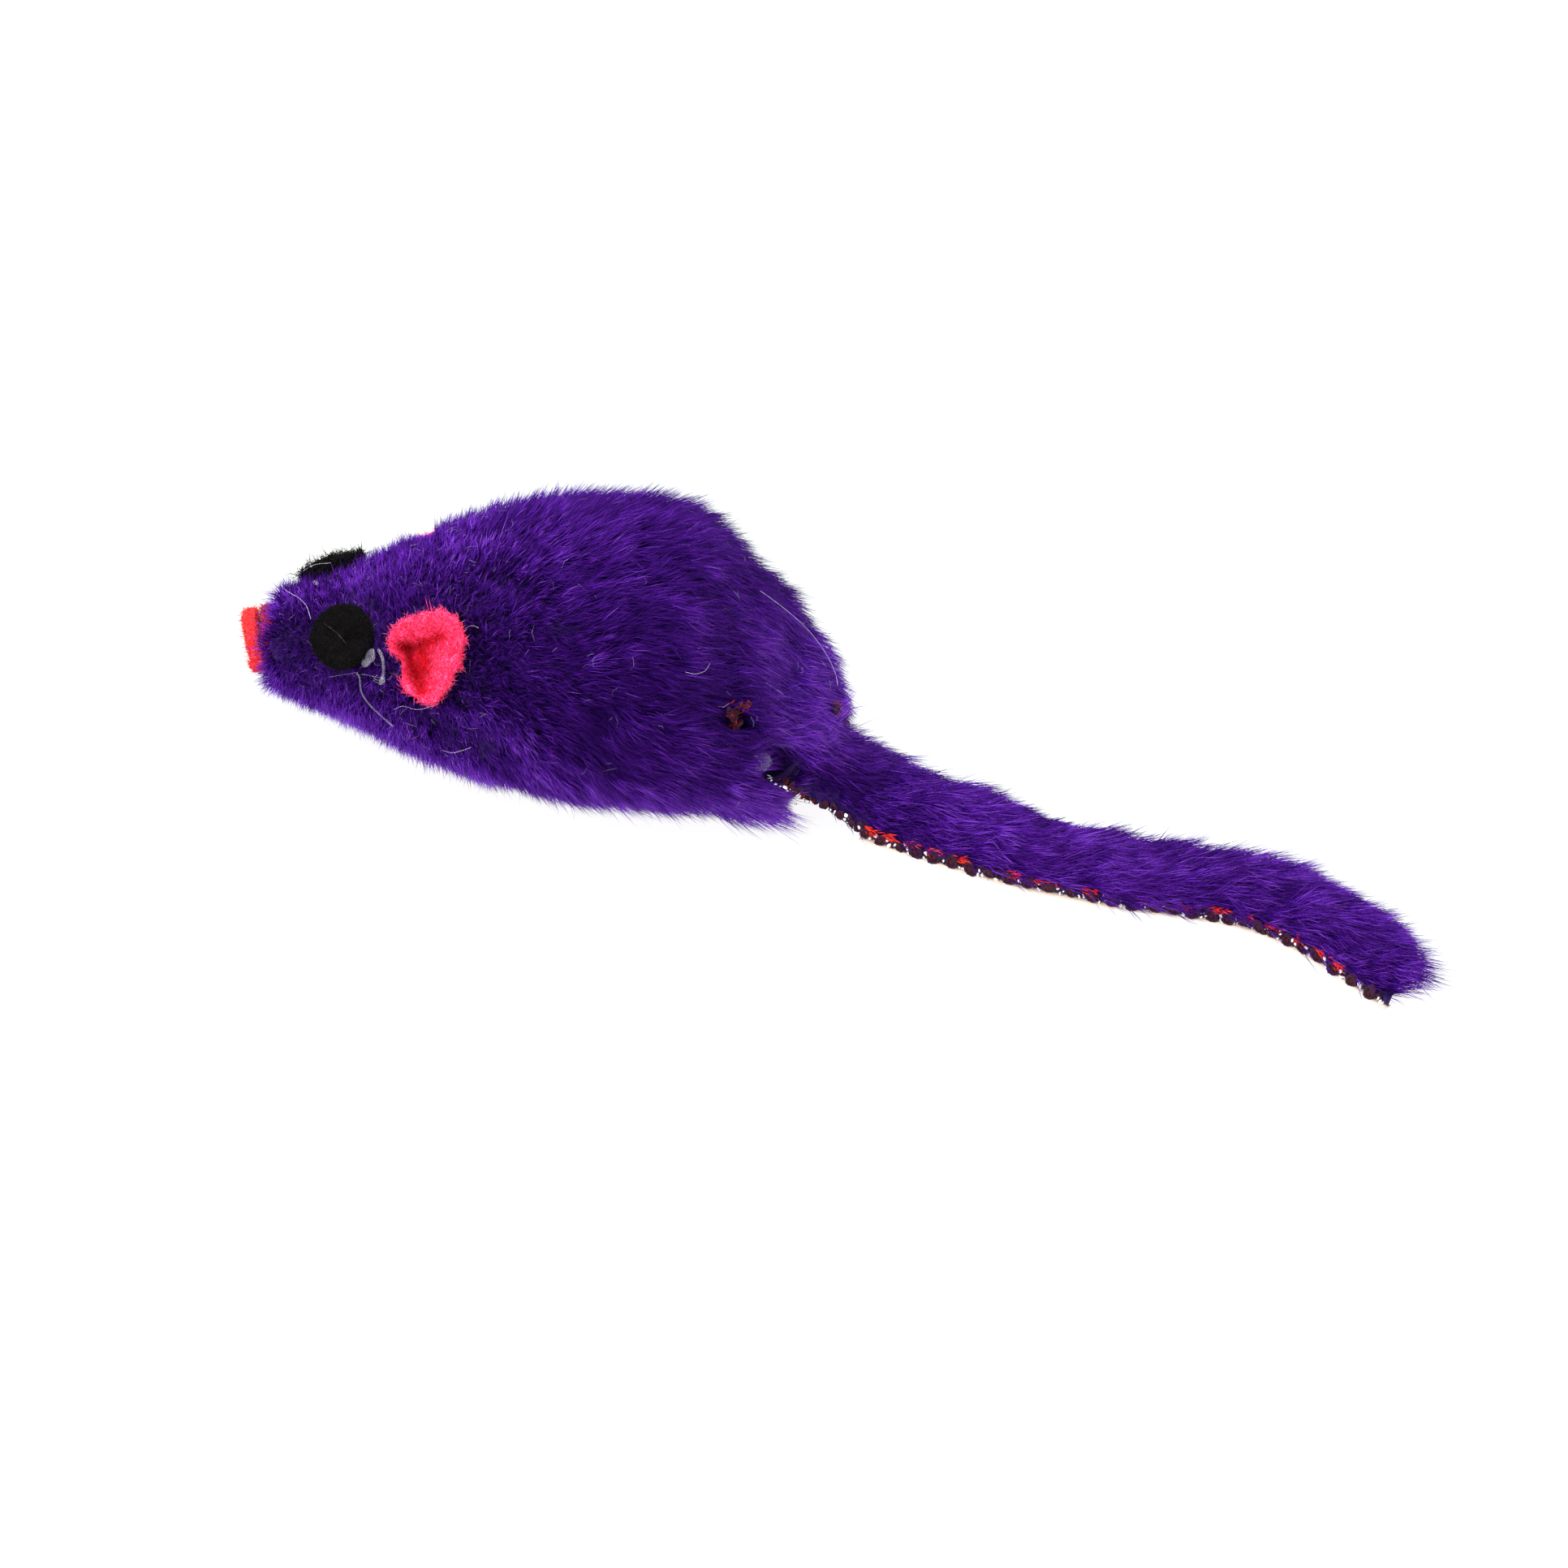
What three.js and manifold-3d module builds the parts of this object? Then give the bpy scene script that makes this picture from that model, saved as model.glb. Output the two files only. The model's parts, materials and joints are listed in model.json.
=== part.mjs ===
// Plush toy mouse for a cat: a fur cover wrapped round a hollow rattle core, felt eyes, ears and
// nose set on with clear glue, and a long tail cut as a strip of the same fur cloth.
// Millimetres, +Z up. The mouse faces -X, its tail runs to +X, and its left side looks to -Y.
// The origin is on the flat of the belly, where the mouse rests.

import * as THREE from 'three';
import { mergeVertices } from 'three/addons/utils/BufferGeometryUtils.js';
import Module from 'manifold-3d';

const wasm = await Module();
wasm.setup();

// Clearances
const gap = 0.3;
const cutOverrun = 6;

// Body, over the fur
const bodyLength = 58.8;
const bodyHalfWidth = 16.4;
const bodyHeight = 29.5;
const restCut = 0.5;
const restShare = 0.563;
const headTurn = 1;
const neckShare = 0.36;
const sectionPower = 2.15;

// Rows of the body: along, half width, top, bottom. Along is a share of the length from the
// snout, top and bottom are shares of the height from the underside before its flat is cut.
const bodyShares = [
  [0.0, 0.145, 0.531, 0.373],
  [0.014, 0.235, 0.578, 0.33],
  [0.041, 0.313, 0.624, 0.281],
  [0.086, 0.398, 0.67, 0.234],
  [0.176, 0.53, 0.739, 0.175],
  [0.274, 0.699, 0.835, 0.106],
  [0.386, 0.855, 0.924, 0.046],
  [0.526, 0.976, 0.993, 0.003],
  [0.666, 1.0, 1.0, 0.0],
  [0.764, 0.964, 0.947, 0.0],
  [0.868, 0.82, 0.722, 0.008],
  [0.94, 0.61, 0.515, 0.04],
  [0.982, 0.38, 0.385, 0.12],
  [1.0, 0.2, 0.32, 0.2],
];
const bodyRings = 28;
const bodySides = 36;

// Belly seam, a slit in the cover that is closed by a line of glue
const seamWidth = 1.4;
const seamLength = 24;
const seamSide = 3.2;
const seamGlueHeight = 2.2;

// Dart in the rump, a short slit that never got closed
const dartLength = 2.8;
const dartWidth = 0.8;
const dartDepth = 1.6;
const dartShare = 0.838;
const dartLiftDeg = 29;
const dartTurnDeg = 60;

// Rattle core, two hollow shells
const coverThickness = 5;
const bellyThickness = 3.5;
const coreFrontShare = 0.165;
const coreRearShare = 0.79;
const coreEndRound = 8;
const coreWall = 1.2;
const coreLipHeight = 1.6;
const coreSplitShare = 0.5;
const coreRings = 18;
const coreSides = 28;

// Rattle beads, which roll along the floor of the core
const beadDiameter = 4;
const beadPitch = 4.8;
const beadShare = 0.55;
const beadTravel = 4;
const beadCount = 3;

// Counts of a ball's faces, round it and over it
const ballSides = 14;
const ballRings = 10;

// Eyes, punched felt discs
const eyeDiameter = 6.35;
const eyeThickness = 1.2;
const eyeSink = 0.5;
const leftEyeShare = 0.156;
const rightEyeShare = 0.112;
const eyeLiftDeg = 45;

// Nose, two punched felt discs that part at the top
const noseDiameter = 6.35;
const noseThickness = 1.1;
const noseSink = 1.7;
const noseHeight = 13.1;
const noseTurnDeg = 12;
const noseDropDeg = 6;
const noseSpreadDeg = 5;

// Ears, larger felt discs pinched into a cup
const earRadius = 5.25;
const earThickness = 1.1;
const earDepth = 2.6;
const earBulge = 1.5;
const earSink = 0.4;
const leftEarShare = 0.318;
const rightEarShare = 0.255;
const leftEarLiftDeg = 38;
const rightEarLiftDeg = -5;
const leftEarPinch = 1;
const rightEarPinch = 0.5;
const earRings = 5;

// Outline of an ear seen face-on: angle from the rear in degrees, reach and rim height
const earOutlineShares = [
  [18, 0.97, 0.78],
  [40, 1.02, 0.92],
  [62, 0.95, 1.0],
  [86, 0.78, 0.98],
  [121, 0.7, 0.96],
  [163, 0.82, 0.9],
  [184, 0.62, 0.7],
  [209, 0.5, 0.55],
  [231, 0.72, 0.6],
  [251, 0.85, 0.66],
  [277, 0.99, 0.66],
  [293, 0.96, 0.62],
  [320, 0.81, 0.6],
  [350, 0.84, 0.66],
];
const earLobeDeg = -25;
const earLobeSpreadDeg = 42;

// Glue that holds the felt, and strings of it drawn over the cheek
const dabDiameter = 3.2;
const dabThickness = 0.9;
const stringDiameter = 0.9;
const threadDiameter = 0.5;
const stringSides = 6;
const stringSteps = 8;

// Tail, a strip of fur cloth that leaves the rump and lies on the floor
const tailWidth = 9.6;
const tailThickness = 4.8;
const tailTuck = 8;
const tailReach = 58.1;
const tailDrift = 22.9;
const tailRootLift = 6.6;
const tailRootLength = 16.5;
const tailSwingRound = 5.6;
const tailLiftRound = 3;
const tailRingStep = 2.6;
const tailTipSkew = 0.53;
const tailSegments = ['tail_base', 'tail_fore', 'tail_aft', 'tail_tip'];

// Middle line of the tail: reach, drift to the left, and lift, from the root to the tip
const tailPathShares = [
  [0.0, 0.114, 1.0],
  [0.076, 0.14, 0.62],
  [0.151, 0.168, 0.189],
  [0.212, 0.218, 0.0],
  [0.3, 0.301, 0.0],
  [0.424, 0.424, 0.0],
  [0.54, 0.507, 0.0],
  [0.658, 0.544, 0.0],
  [0.731, 0.566, 0.0],
  [0.808, 0.624, 0.0],
  [0.885, 0.742, 0.0],
  [0.95, 0.886, 0.0],
  [1.0, 1.0, 0.0],
];

// Width and thickness along the tail, and the outline of a cut across it: across, then height
const tailSizeShares = [
  [0.0, 0.9, 1.0],
  [0.18, 1.0, 1.0],
  [0.36, 0.98, 0.98],
  [0.44, 0.92, 0.93],
  [0.5, 0.84, 0.86],
  [0.68, 0.82, 0.85],
  [0.86, 0.84, 0.85],
  [1.0, 0.84, 0.82],
];
const tailSectionShares = [
  [0.5, 0.0],
  [0.5, 0.3],
  [0.42, 0.68],
  [0.25, 0.92],
  [0.0, 1.0],
  [-0.25, 0.92],
  [-0.42, 0.68],
  [-0.5, 0.3],
  [-0.5, 0.0],
  [0.0, 0.0],
];

// Hollow in the rump beside the tail's root, with the lump of glue that shows in it. The sizes
// run along the body, up it and into it.
const rootRoom = 0.6;
const hollowShare = 0.915;
const hollowLiftDeg = 10;
const hollowLength = 6.6;
const hollowHeight = 4.2;
const hollowDepth = 3.2;
const rootGlueLength = 3.6;
const rootGlueHeight = 2.2;
const rootGlueDepth = 2.4;
const rootGlueAhead = 1.2;

// Colours and finishes
const furFinish = { color: 0x3c1478, roughness: 0.95, metalness: 0 };
const eyeFinish = { color: 0x14140f, roughness: 0.98, metalness: 0 };
const earFinish = { color: 0xf62a58, roughness: 0.95, metalness: 0 };
const noseFinish = { color: 0xe81c16, roughness: 0.95, metalness: 0 };
const coreFinish = { color: 0xe9e6dc, roughness: 0.5, metalness: 0 };
const beadFinish = { color: 0xc8c2b4, roughness: 0.4, metalness: 0 };
const glueFinish = { color: 0xe4e2ea, roughness: 0.15, metalness: 0, transparent: true, opacity: 0.5 };

const toRadians = Math.PI / 180;

// A closed solid through a row of rings that all have the same number of points, each ring
// running anticlockwise about the direction in which the rings follow each other.
function loft(rings) {
  const sides = rings[0].length;
  const positions = [];
  for (const ring of rings) {
    for (const point of ring) {
      positions.push(point.x, point.y, point.z);
    }
  }
  const index = [];
  for (let row = 0; row < rings.length - 1; row += 1) {
    for (let side = 0; side < sides; side += 1) {
      const next = (side + 1) % sides;
      const a = row * sides + side;
      const b = row * sides + next;
      index.push(a, b, a + sides);
      index.push(b, b + sides, a + sides);
    }
  }
  const first = positions.length / 3;
  const last = first + 1;
  for (const ring of [rings[0], rings[rings.length - 1]]) {
    const centre = new THREE.Vector3();
    ring.forEach((point) => centre.add(point));
    centre.divideScalar(sides);
    positions.push(centre.x, centre.y, centre.z);
  }
  const lastRow = (rings.length - 1) * sides;
  for (let side = 0; side < sides; side += 1) {
    const next = (side + 1) % sides;
    index.push(first, next, side);
    index.push(last, lastRow + side, lastRow + next);
  }
  const geometry = new THREE.BufferGeometry();
  geometry.setAttribute('position', new THREE.Float32BufferAttribute(positions, 3));
  geometry.setIndex(index);
  return geometry;
}

// Solids for joining and cutting
function solidOf(geometry) {
  const bare = geometry.clone();
  bare.deleteAttribute('normal');
  bare.deleteAttribute('uv');
  const merged = mergeVertices(bare);
  return new wasm.Manifold(new wasm.Mesh({
    numProp: 3,
    vertProperties: new Float32Array(merged.attributes.position.array),
    triVerts: new Uint32Array(merged.index.array),
  }));
}

function geometryOf(solid) {
  const mesh = solid.getMesh();
  const geometry = new THREE.BufferGeometry();
  geometry.setAttribute('position', new THREE.BufferAttribute(mesh.vertProperties, 3));
  geometry.setIndex(new THREE.BufferAttribute(mesh.triVerts, 1));
  return geometry;
}

function placed(geometry, frame) {
  return geometry.clone().applyMatrix4(frame);
}

// A smooth curve through a table of rows, read at one value of its first column
function readTable(rows, column, at) {
  const clamped = Math.min(Math.max(at, rows[0][0]), rows[rows.length - 1][0]);
  let row = 0;
  while (row < rows.length - 2 && rows[row + 1][0] < clamped) {
    row += 1;
  }
  const slope = (index) => {
    const before = rows[Math.max(index - 1, 0)];
    const after = rows[Math.min(index + 1, rows.length - 1)];
    return (after[column] - before[column]) / (after[0] - before[0]);
  };
  const width = rows[row + 1][0] - rows[row][0];
  const t = (clamped - rows[row][0]) / width;
  const start = rows[row][column];
  const end = rows[row + 1][column];
  const startSlope = slope(row) * width;
  const endSlope = slope(row + 1) * width;
  return (2 * t ** 3 - 3 * t ** 2 + 1) * start + (t ** 3 - 2 * t ** 2 + t) * startSlope
    + (3 * t ** 2 - 2 * t ** 3) * end + (t ** 3 - t ** 2) * endSlope;
}

// The body at one share of its length
function bodyX(along) {
  return (along - restShare) * bodyLength;
}

function bodySection(along) {
  const z = (column) => readTable(bodyShares, column, along) * (bodyHeight + restCut) - restCut;
  const turn = Math.max(1 - along / neckShare, 0) ** 2;
  return {
    x: bodyX(along),
    y: -headTurn * turn,
    halfWidth: readTable(bodyShares, 1, along) * bodyHalfWidth,
    top: z(2),
    bottom: z(3),
  };
}

// One point round a section, with the angle measured from the right side upwards
function sectionPoint(section, angle) {
  const rounded = (value) => Math.sign(value) * Math.abs(value) ** (2 / sectionPower);
  const middle = (section.top + section.bottom) / 2;
  const halfHeight = (section.top - section.bottom) / 2;
  return new THREE.Vector3(
    section.x,
    section.y + section.halfWidth * rounded(Math.cos(angle)),
    middle + halfHeight * rounded(Math.sin(angle)),
  );
}

function sectionRing(section, sides) {
  const ring = [];
  for (let side = 0; side < sides; side += 1) {
    ring.push(sectionPoint(section, (2 * Math.PI * side) / sides));
  }
  return ring;
}

function bodyForm() {
  const rings = [];
  for (let row = 0; row <= bodyRings; row += 1) {
    const along = (1 - Math.cos((Math.PI * row) / bodyRings)) / 2;
    rings.push(sectionRing(bodySection(along), bodySides));
  }
  return loft(rings);
}

// A frame on the skin of the body: +Z out of it, +X towards the tail, +Y up along it on the
// left side and down along it on the right, so that both sides are mirror images.
const skinStep = 0.001;

function skinFrame(along, liftDeg, side, lift) {
  const angle = side > 0 ? liftDeg * toRadians : Math.PI - liftDeg * toRadians;
  const point = sectionPoint(bodySection(along), angle);
  const rearward = sectionPoint(bodySection(along + skinStep), angle).sub(point);
  const round = sectionPoint(bodySection(along), angle + skinStep).sub(point);
  const out = new THREE.Vector3().crossVectors(round, rearward).normalize();
  const rear = rearward.addScaledVector(out, -rearward.dot(out)).normalize();
  const across = new THREE.Vector3().crossVectors(out, rear);
  point.addScaledVector(out, lift);
  return new THREE.Matrix4().makeBasis(rear, across, out).setPosition(point);
}

function disc(radius, thickness, base, sides) {
  const geometry = new THREE.CylinderGeometry(radius, radius, thickness, sides);
  geometry.rotateX(Math.PI / 2);
  geometry.translate(0, 0, base + thickness / 2);
  return geometry;
}

// Rattle core: its outer skin follows the inside of the cover
function coreSection(along, inset) {
  const body = bodySection(along);
  const front = bodyX(coreFrontShare) + inset;
  const rear = bodyX(coreRearShare) - inset;
  const toEnd = Math.min(body.x - front, rear - body.x);
  const round = Math.max(coreEndRound - inset, gap);
  const missing = Math.max(1 - toEnd / round, 0);
  const share = Math.sqrt(Math.max(1 - missing ** 2, 0));
  const top = body.top - coverThickness - inset;
  const bottom = Math.max(body.bottom, 0) + bellyThickness + inset;
  const middle = (top + bottom) / 2;
  return {
    x: body.x,
    y: body.y,
    halfWidth: (body.halfWidth - coverThickness - inset) * share,
    top: middle + (top - middle) * share,
    bottom: middle + (bottom - middle) * share,
  };
}

function coreForm(inset) {
  const front = bodyX(coreFrontShare) + inset;
  const rear = bodyX(coreRearShare) - inset;
  const rings = [];
  for (let row = 1; row < coreRings; row += 1) {
    const x = front + ((rear - front) * (1 - Math.cos((Math.PI * row) / coreRings))) / 2;
    rings.push(sectionRing(coreSection(x / bodyLength + restShare, inset), coreSides));
  }
  return loft(rings);
}

const coreMiddle = coreSection((coreFrontShare + coreRearShare) / 2, 0);
const coreSplit = coreMiddle.bottom + (coreMiddle.top - coreMiddle.bottom) * coreSplitShare;

function slab(bottom, top) {
  const geometry = new THREE.BoxGeometry(2 * bodyLength, 4 * bodyHalfWidth, top - bottom);
  geometry.translate(0, 0, (top + bottom) / 2);
  return solidOf(geometry);
}

function coreShells() {
  const hollow = solidOf(coreForm(coreWall));
  const wall = solidOf(coreForm(0)).subtract(hollow);
  const lipOuter = solidOf(coreForm(coreWall / 2));
  const lip = lipOuter.subtract(hollow).intersect(slab(coreSplit - gap, coreSplit + coreLipHeight));
  const lipRoom = solidOf(coreForm(coreWall / 2 - gap))
    .intersect(slab(coreSplit - gap, coreSplit + coreLipHeight + gap));
  const lower = wall.intersect(slab(-cutOverrun, coreSplit)).add(lip);
  const upper = wall.intersect(slab(coreSplit + gap, bodyHeight + cutOverrun)).subtract(lipRoom);
  return { lower: geometryOf(lower), upper: geometryOf(upper) };
}

// A bead rests a gap above the floor of the core, wherever its travel takes it
function beadRests() {
  const reach = beadDiameter / 2 + gap;
  const rests = [];
  for (let bead = 0; bead < beadCount; bead += 1) {
    const y = (bead - (beadCount - 1) / 2) * beadPitch;
    let height = 0;
    for (const shift of [-beadTravel, 0, beadTravel]) {
      const x = bodyX(beadShare) + shift;
      const ring = sectionRing(coreSection(x / bodyLength + restShare, coreWall), bodySides * 4);
      for (const point of ring) {
        const across = point.y - y;
        if (Math.abs(across) < reach && point.z < coreSplit) {
          height = Math.max(height, point.z + Math.sqrt(reach ** 2 - across ** 2));
        }
      }
    }
    rests.push(new THREE.Vector3(bodyX(beadShare), y, height));
  }
  return rests;
}

// Ear: a disc of felt pushed in at its middle and pinched, so that its rim stands up
function earForm(mirrored, pinch) {
  const outline = earOutlineShares;
  const sides = outline.length;
  const surface = (ringShare, row) => {
    const [angleDeg, reachShare, rimShare] = row;
    const angle = angleDeg * toRadians;
    const offLobe = Math.atan2(
      Math.sin(angle - earLobeDeg * toRadians),
      Math.cos(angle - earLobeDeg * toRadians),
    );
    const lobe = Math.exp(-((offLobe / (earLobeSpreadDeg * toRadians)) ** 2));
    const reach = earRadius * reachShare * ringShare;
    const height = earDepth * rimShare * ringShare ** 2
      + earBulge * lobe * Math.sin(Math.PI * ringShare) * ringShare;
    return new THREE.Vector3(reach * Math.cos(angle), reach * Math.sin(angle), pinch * height);
  };
  const positions = [0, 0, earThickness, 0, 0, 0];
  for (const lift of [earThickness, 0]) {
    for (let ring = 1; ring <= earRings; ring += 1) {
      for (const row of outline) {
        const point = surface(ring / earRings, row);
        positions.push(point.x, point.y, point.z + lift);
      }
    }
  }
  const vertex = (layer, ring, side) => (
    ring === 0 ? layer : 2 + layer * earRings * sides + (ring - 1) * sides + (side % sides)
  );
  const index = [];
  const quad = (a, b, c, d) => index.push(a, b, c, a, c, d);
  for (let side = 0; side < sides; side += 1) {
    index.push(vertex(0, 0, 0), vertex(0, 1, side), vertex(0, 1, side + 1));
    index.push(vertex(1, 0, 0), vertex(1, 1, side + 1), vertex(1, 1, side));
    for (let ring = 1; ring < earRings; ring += 1) {
      quad(
        vertex(0, ring, side), vertex(0, ring + 1, side),
        vertex(0, ring + 1, side + 1), vertex(0, ring, side + 1),
      );
      quad(
        vertex(1, ring, side + 1), vertex(1, ring + 1, side + 1),
        vertex(1, ring + 1, side), vertex(1, ring, side),
      );
    }
    quad(
      vertex(1, earRings, side), vertex(1, earRings, side + 1),
      vertex(0, earRings, side + 1), vertex(0, earRings, side),
    );
  }
  if (mirrored) {
    for (let at = 1; at < positions.length; at += 3) {
      positions[at] = -positions[at];
    }
    for (let at = 0; at < index.length; at += 3) {
      [index[at + 1], index[at + 2]] = [index[at + 2], index[at + 1]];
    }
  }
  const geometry = new THREE.BufferGeometry();
  geometry.setAttribute('position', new THREE.Float32BufferAttribute(positions, 3));
  geometry.setIndex(index);
  return geometry;
}

// Tail: its middle line, and a cut across it at a distance from the root
const rumpX = bodyX(1);
const tailPath = new THREE.CatmullRomCurve3(tailPathShares.map(([reach, drift, lift]) => (
  new THREE.Vector3(
    rumpX - tailTuck + (tailTuck + tailReach) * reach,
    -tailDrift * drift,
    tailRootLift * lift,
  )
)));
const tailLength = tailPath.getLength();
const segmentLength = (tailLength - tailRootLength) / tailSegments.length;

function tailFrame(distance) {
  const at = Math.min(Math.max(distance / tailLength, 0), 1);
  const centre = tailPath.getPointAt(at);
  centre.z = Math.max(centre.z, 0);
  const along = tailPath.getTangentAt(at);
  if (centre.z === 0) {
    along.z = 0;
    along.normalize();
  }
  const across = new THREE.Vector3(-along.y, along.x, 0).normalize();
  const up = new THREE.Vector3().crossVectors(along, across);
  return new THREE.Matrix4().makeBasis(along, across, up).setPosition(centre);
}

// Half round ends: how far a place beside the middle of a cut is set back round its joint
function setBack(round, aside) {
  return round > 0 ? round - Math.sqrt(Math.max(round ** 2 - aside ** 2, 0)) : 0;
}

// The swing and lift rounds shape a cut round its joint, skew slants it and room widens it
function tailRing(distance, { swingRound = 0, liftRound = 0, skew = 0, room = 0 }) {
  const at = distance / tailLength;
  const width = tailWidth * readTable(tailSizeShares, 1, at) + 2 * room;
  const thickness = tailThickness * readTable(tailSizeShares, 2, at) + 2 * room;
  const frame = tailFrame(distance);
  return tailSectionShares.map(([acrossShare, heightShare]) => {
    const across = width * acrossShare;
    const height = heightShare * thickness - room;
    const set = setBack(swingRound, across) + setBack(liftRound, height - tailThickness / 2);
    return new THREE.Vector3(set - skew * across, across, height).applyMatrix4(frame);
  });
}

function tailStretch(from, to, { swingRound = 0, liftRound = 0, skew = 0, room = 0 } = {}) {
  const steps = Math.max(Math.round((to - from) / tailRingStep), 2);
  const rings = [];
  for (let step = 0; step <= steps; step += 1) {
    const distance = from + ((to - from) * step) / steps;
    rings.push(tailRing(distance, {
      swingRound: step === 0 ? swingRound : 0,
      liftRound: step === 0 ? liftRound : 0,
      skew: skew * Math.max((2 * step) / steps - 1, 0),
      room,
    }));
  }
  return loft(rings);
}

// Strings of glue: tubes over the cheek, a gap above the fur
function cheekString(diameter, shares) {
  const path = new THREE.CatmullRomCurve3(shares.map(([along, liftDeg]) => (
    new THREE.Vector3().setFromMatrixPosition(skinFrame(along, liftDeg, -1, diameter / 2 + gap))
  )));
  const section = new THREE.Shape();
  section.moveTo(diameter / 2, 0);
  for (let side = 1; side < stringSides; side += 1) {
    const angle = (2 * Math.PI * side) / stringSides;
    section.lineTo((diameter / 2) * Math.cos(angle), (diameter / 2) * Math.sin(angle));
  }
  section.closePath();
  return new THREE.ExtrudeGeometry(section, { steps: stringSteps, extrudePath: path });
}

// Places along the cheek, as share of the body's length and degrees up from its side
const stringShares = [
  [0.234, 36],
  [0.24, 28],
  [0.244, 20],
];
const threadShares = [
  [0.205, 19],
  [0.209, 10],
  [0.229, 2],
  [0.254, -5],
];

const toy = new THREE.Group();

function addPiece(name, geometry, finish, frame = new THREE.Matrix4()) {
  const mesh = new THREE.Mesh(geometry, new THREE.MeshStandardMaterial(finish));
  mesh.name = name;
  frame.decompose(mesh.position, mesh.quaternion, mesh.scale);
  toy.add(mesh);
  return mesh;
}

// Felt on the head, each piece with the room that the cover leaves for it
const coverCuts = [];
const discSides = 28;
const dabSides = 12;

function setDisc(name, frame, radius, thickness, sink, finish) {
  addPiece(name, disc(radius, thickness, -sink, discSides), finish, frame);
  coverCuts.push(placed(disc(radius + gap, thickness + gap + cutOverrun, -sink - gap, discSides), frame));
}

function setDab(name, frame, base) {
  const top = base - gap;
  addPiece(name, disc(dabDiameter / 2, dabThickness, top - dabThickness, dabSides), glueFinish, frame);
  const room = disc(
    dabDiameter / 2 + gap,
    dabThickness + 2 * gap,
    top - dabThickness - gap,
    dabSides,
  );
  coverCuts.push(placed(room, frame));
}

const headSides = [
  {
    word: 'left', side: -1, eyeShare: leftEyeShare,
    earShare: leftEarShare, earLiftDeg: leftEarLiftDeg, earPinch: leftEarPinch,
  },
  {
    word: 'right', side: 1, eyeShare: rightEyeShare,
    earShare: rightEarShare, earLiftDeg: rightEarLiftDeg, earPinch: rightEarPinch,
  },
];
for (const { word, side, eyeShare, earShare, earLiftDeg, earPinch } of headSides) {
  const eyeFrame = skinFrame(eyeShare, eyeLiftDeg, side, 0);
  setDisc(`${word}_eye`, eyeFrame, eyeDiameter / 2, eyeThickness, eyeSink, eyeFinish);
  setDab(`${word}_eye_glue`, eyeFrame, -eyeSink);
  const earFrame = skinFrame(earShare, earLiftDeg, side, -earSink);
  const ear = earForm(side > 0, earPinch);
  addPiece(`${word}_ear`, ear, earFinish, earFrame);
  const earRoom = ear.clone();
  const grown = 1 + gap / earThickness;
  earRoom.scale(grown, grown, 1);
  earRoom.translate(0, 0, -gap);
  coverCuts.push(placed(earRoom, earFrame));
  setDab(`${word}_ear_glue`, earFrame, 0);
}

const noseForward = new THREE.Euler(0, (-90 - noseDropDeg) * toRadians, noseTurnDeg * toRadians, 'ZYX');
const noseFrame = new THREE.Matrix4()
  .makeRotationFromEuler(noseForward)
  .setPosition(bodyX(0), -headTurn, noseHeight);
setDisc('nose_rear_disc', noseFrame, noseDiameter / 2, noseThickness, noseSink, noseFinish);
setDab('nose_glue', noseFrame, -noseSink);
const noseHinge = new THREE.Matrix4()
  .makeTranslation(-noseDiameter / 2, 0, noseThickness - noseSink + gap)
  .multiply(new THREE.Matrix4().makeRotationY(-noseSpreadDeg * toRadians))
  .multiply(new THREE.Matrix4().makeTranslation(noseDiameter / 2, 0, 0));
const noseFront = noseFrame.clone().multiply(noseHinge);
setDisc('nose_front_disc', noseFront, noseDiameter / 2, noseThickness, 0, noseFinish);

// Tail pieces and the glue at its root
addPiece('tail_root', tailStretch(0, tailRootLength), furFinish);
tailSegments.forEach((name, order) => {
  const start = tailRootLength + segmentLength * order;
  const swings = order % 2 === 0;
  const last = order === tailSegments.length - 1;
  const form = tailStretch(start + gap, start + segmentLength, {
    swingRound: swings ? tailSwingRound : 0,
    liftRound: swings ? 0 : tailLiftRound,
    skew: last ? tailTipSkew : 0,
  });
  addPiece(name, form, furFinish);
});

const rootRoomForm = solidOf(tailStretch(-rootRoom, tailRootLength + cutOverrun, { room: rootRoom }));
const hollowFrame = skinFrame(hollowShare, hollowLiftDeg, -1, 0);

function hollowForm() {
  const ball = new THREE.SphereGeometry(1, ballSides, ballRings);
  ball.scale(hollowLength / 2, hollowHeight / 2, hollowDepth);
  return solidOf(placed(ball, hollowFrame));
}

function rootGlueForm(room) {
  const ball = new THREE.SphereGeometry(1, ballSides, ballRings);
  ball.scale(rootGlueLength / 2 + room, rootGlueHeight / 2 + room, rootGlueDepth / 2 + room);
  ball.translate(-rootGlueAhead, 0, rootGlueDepth / 2 - hollowDepth);
  return solidOf(placed(ball, hollowFrame));
}

addPiece('tail_glue', geometryOf(rootGlueForm(0)), glueFinish);

// Core and beads
const shells = coreShells();
addPiece('core_lower_shell', shells.lower, coreFinish);
addPiece('core_upper_shell', shells.upper, coreFinish);
beadRests().forEach((rest, order) => {
  const bead = new THREE.SphereGeometry(beadDiameter / 2, ballSides, ballRings);
  addPiece(`rattle_bead_${order + 1}`, bead, beadFinish, new THREE.Matrix4().setPosition(rest));
});

// Cover: the body form with its flat, less the room for all that is set into it
function dartCut() {
  const slit = new THREE.BoxGeometry(dartLength, dartWidth, 2 * dartDepth);
  slit.rotateZ(dartTurnDeg * toRadians);
  return placed(slit, skinFrame(dartShare, dartLiftDeg, -1, 0));
}

function seamBox(length, width, bottom, top) {
  const box = new THREE.BoxGeometry(length, width, top - bottom);
  box.translate(0, seamSide, (top + bottom) / 2);
  return box;
}

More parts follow.
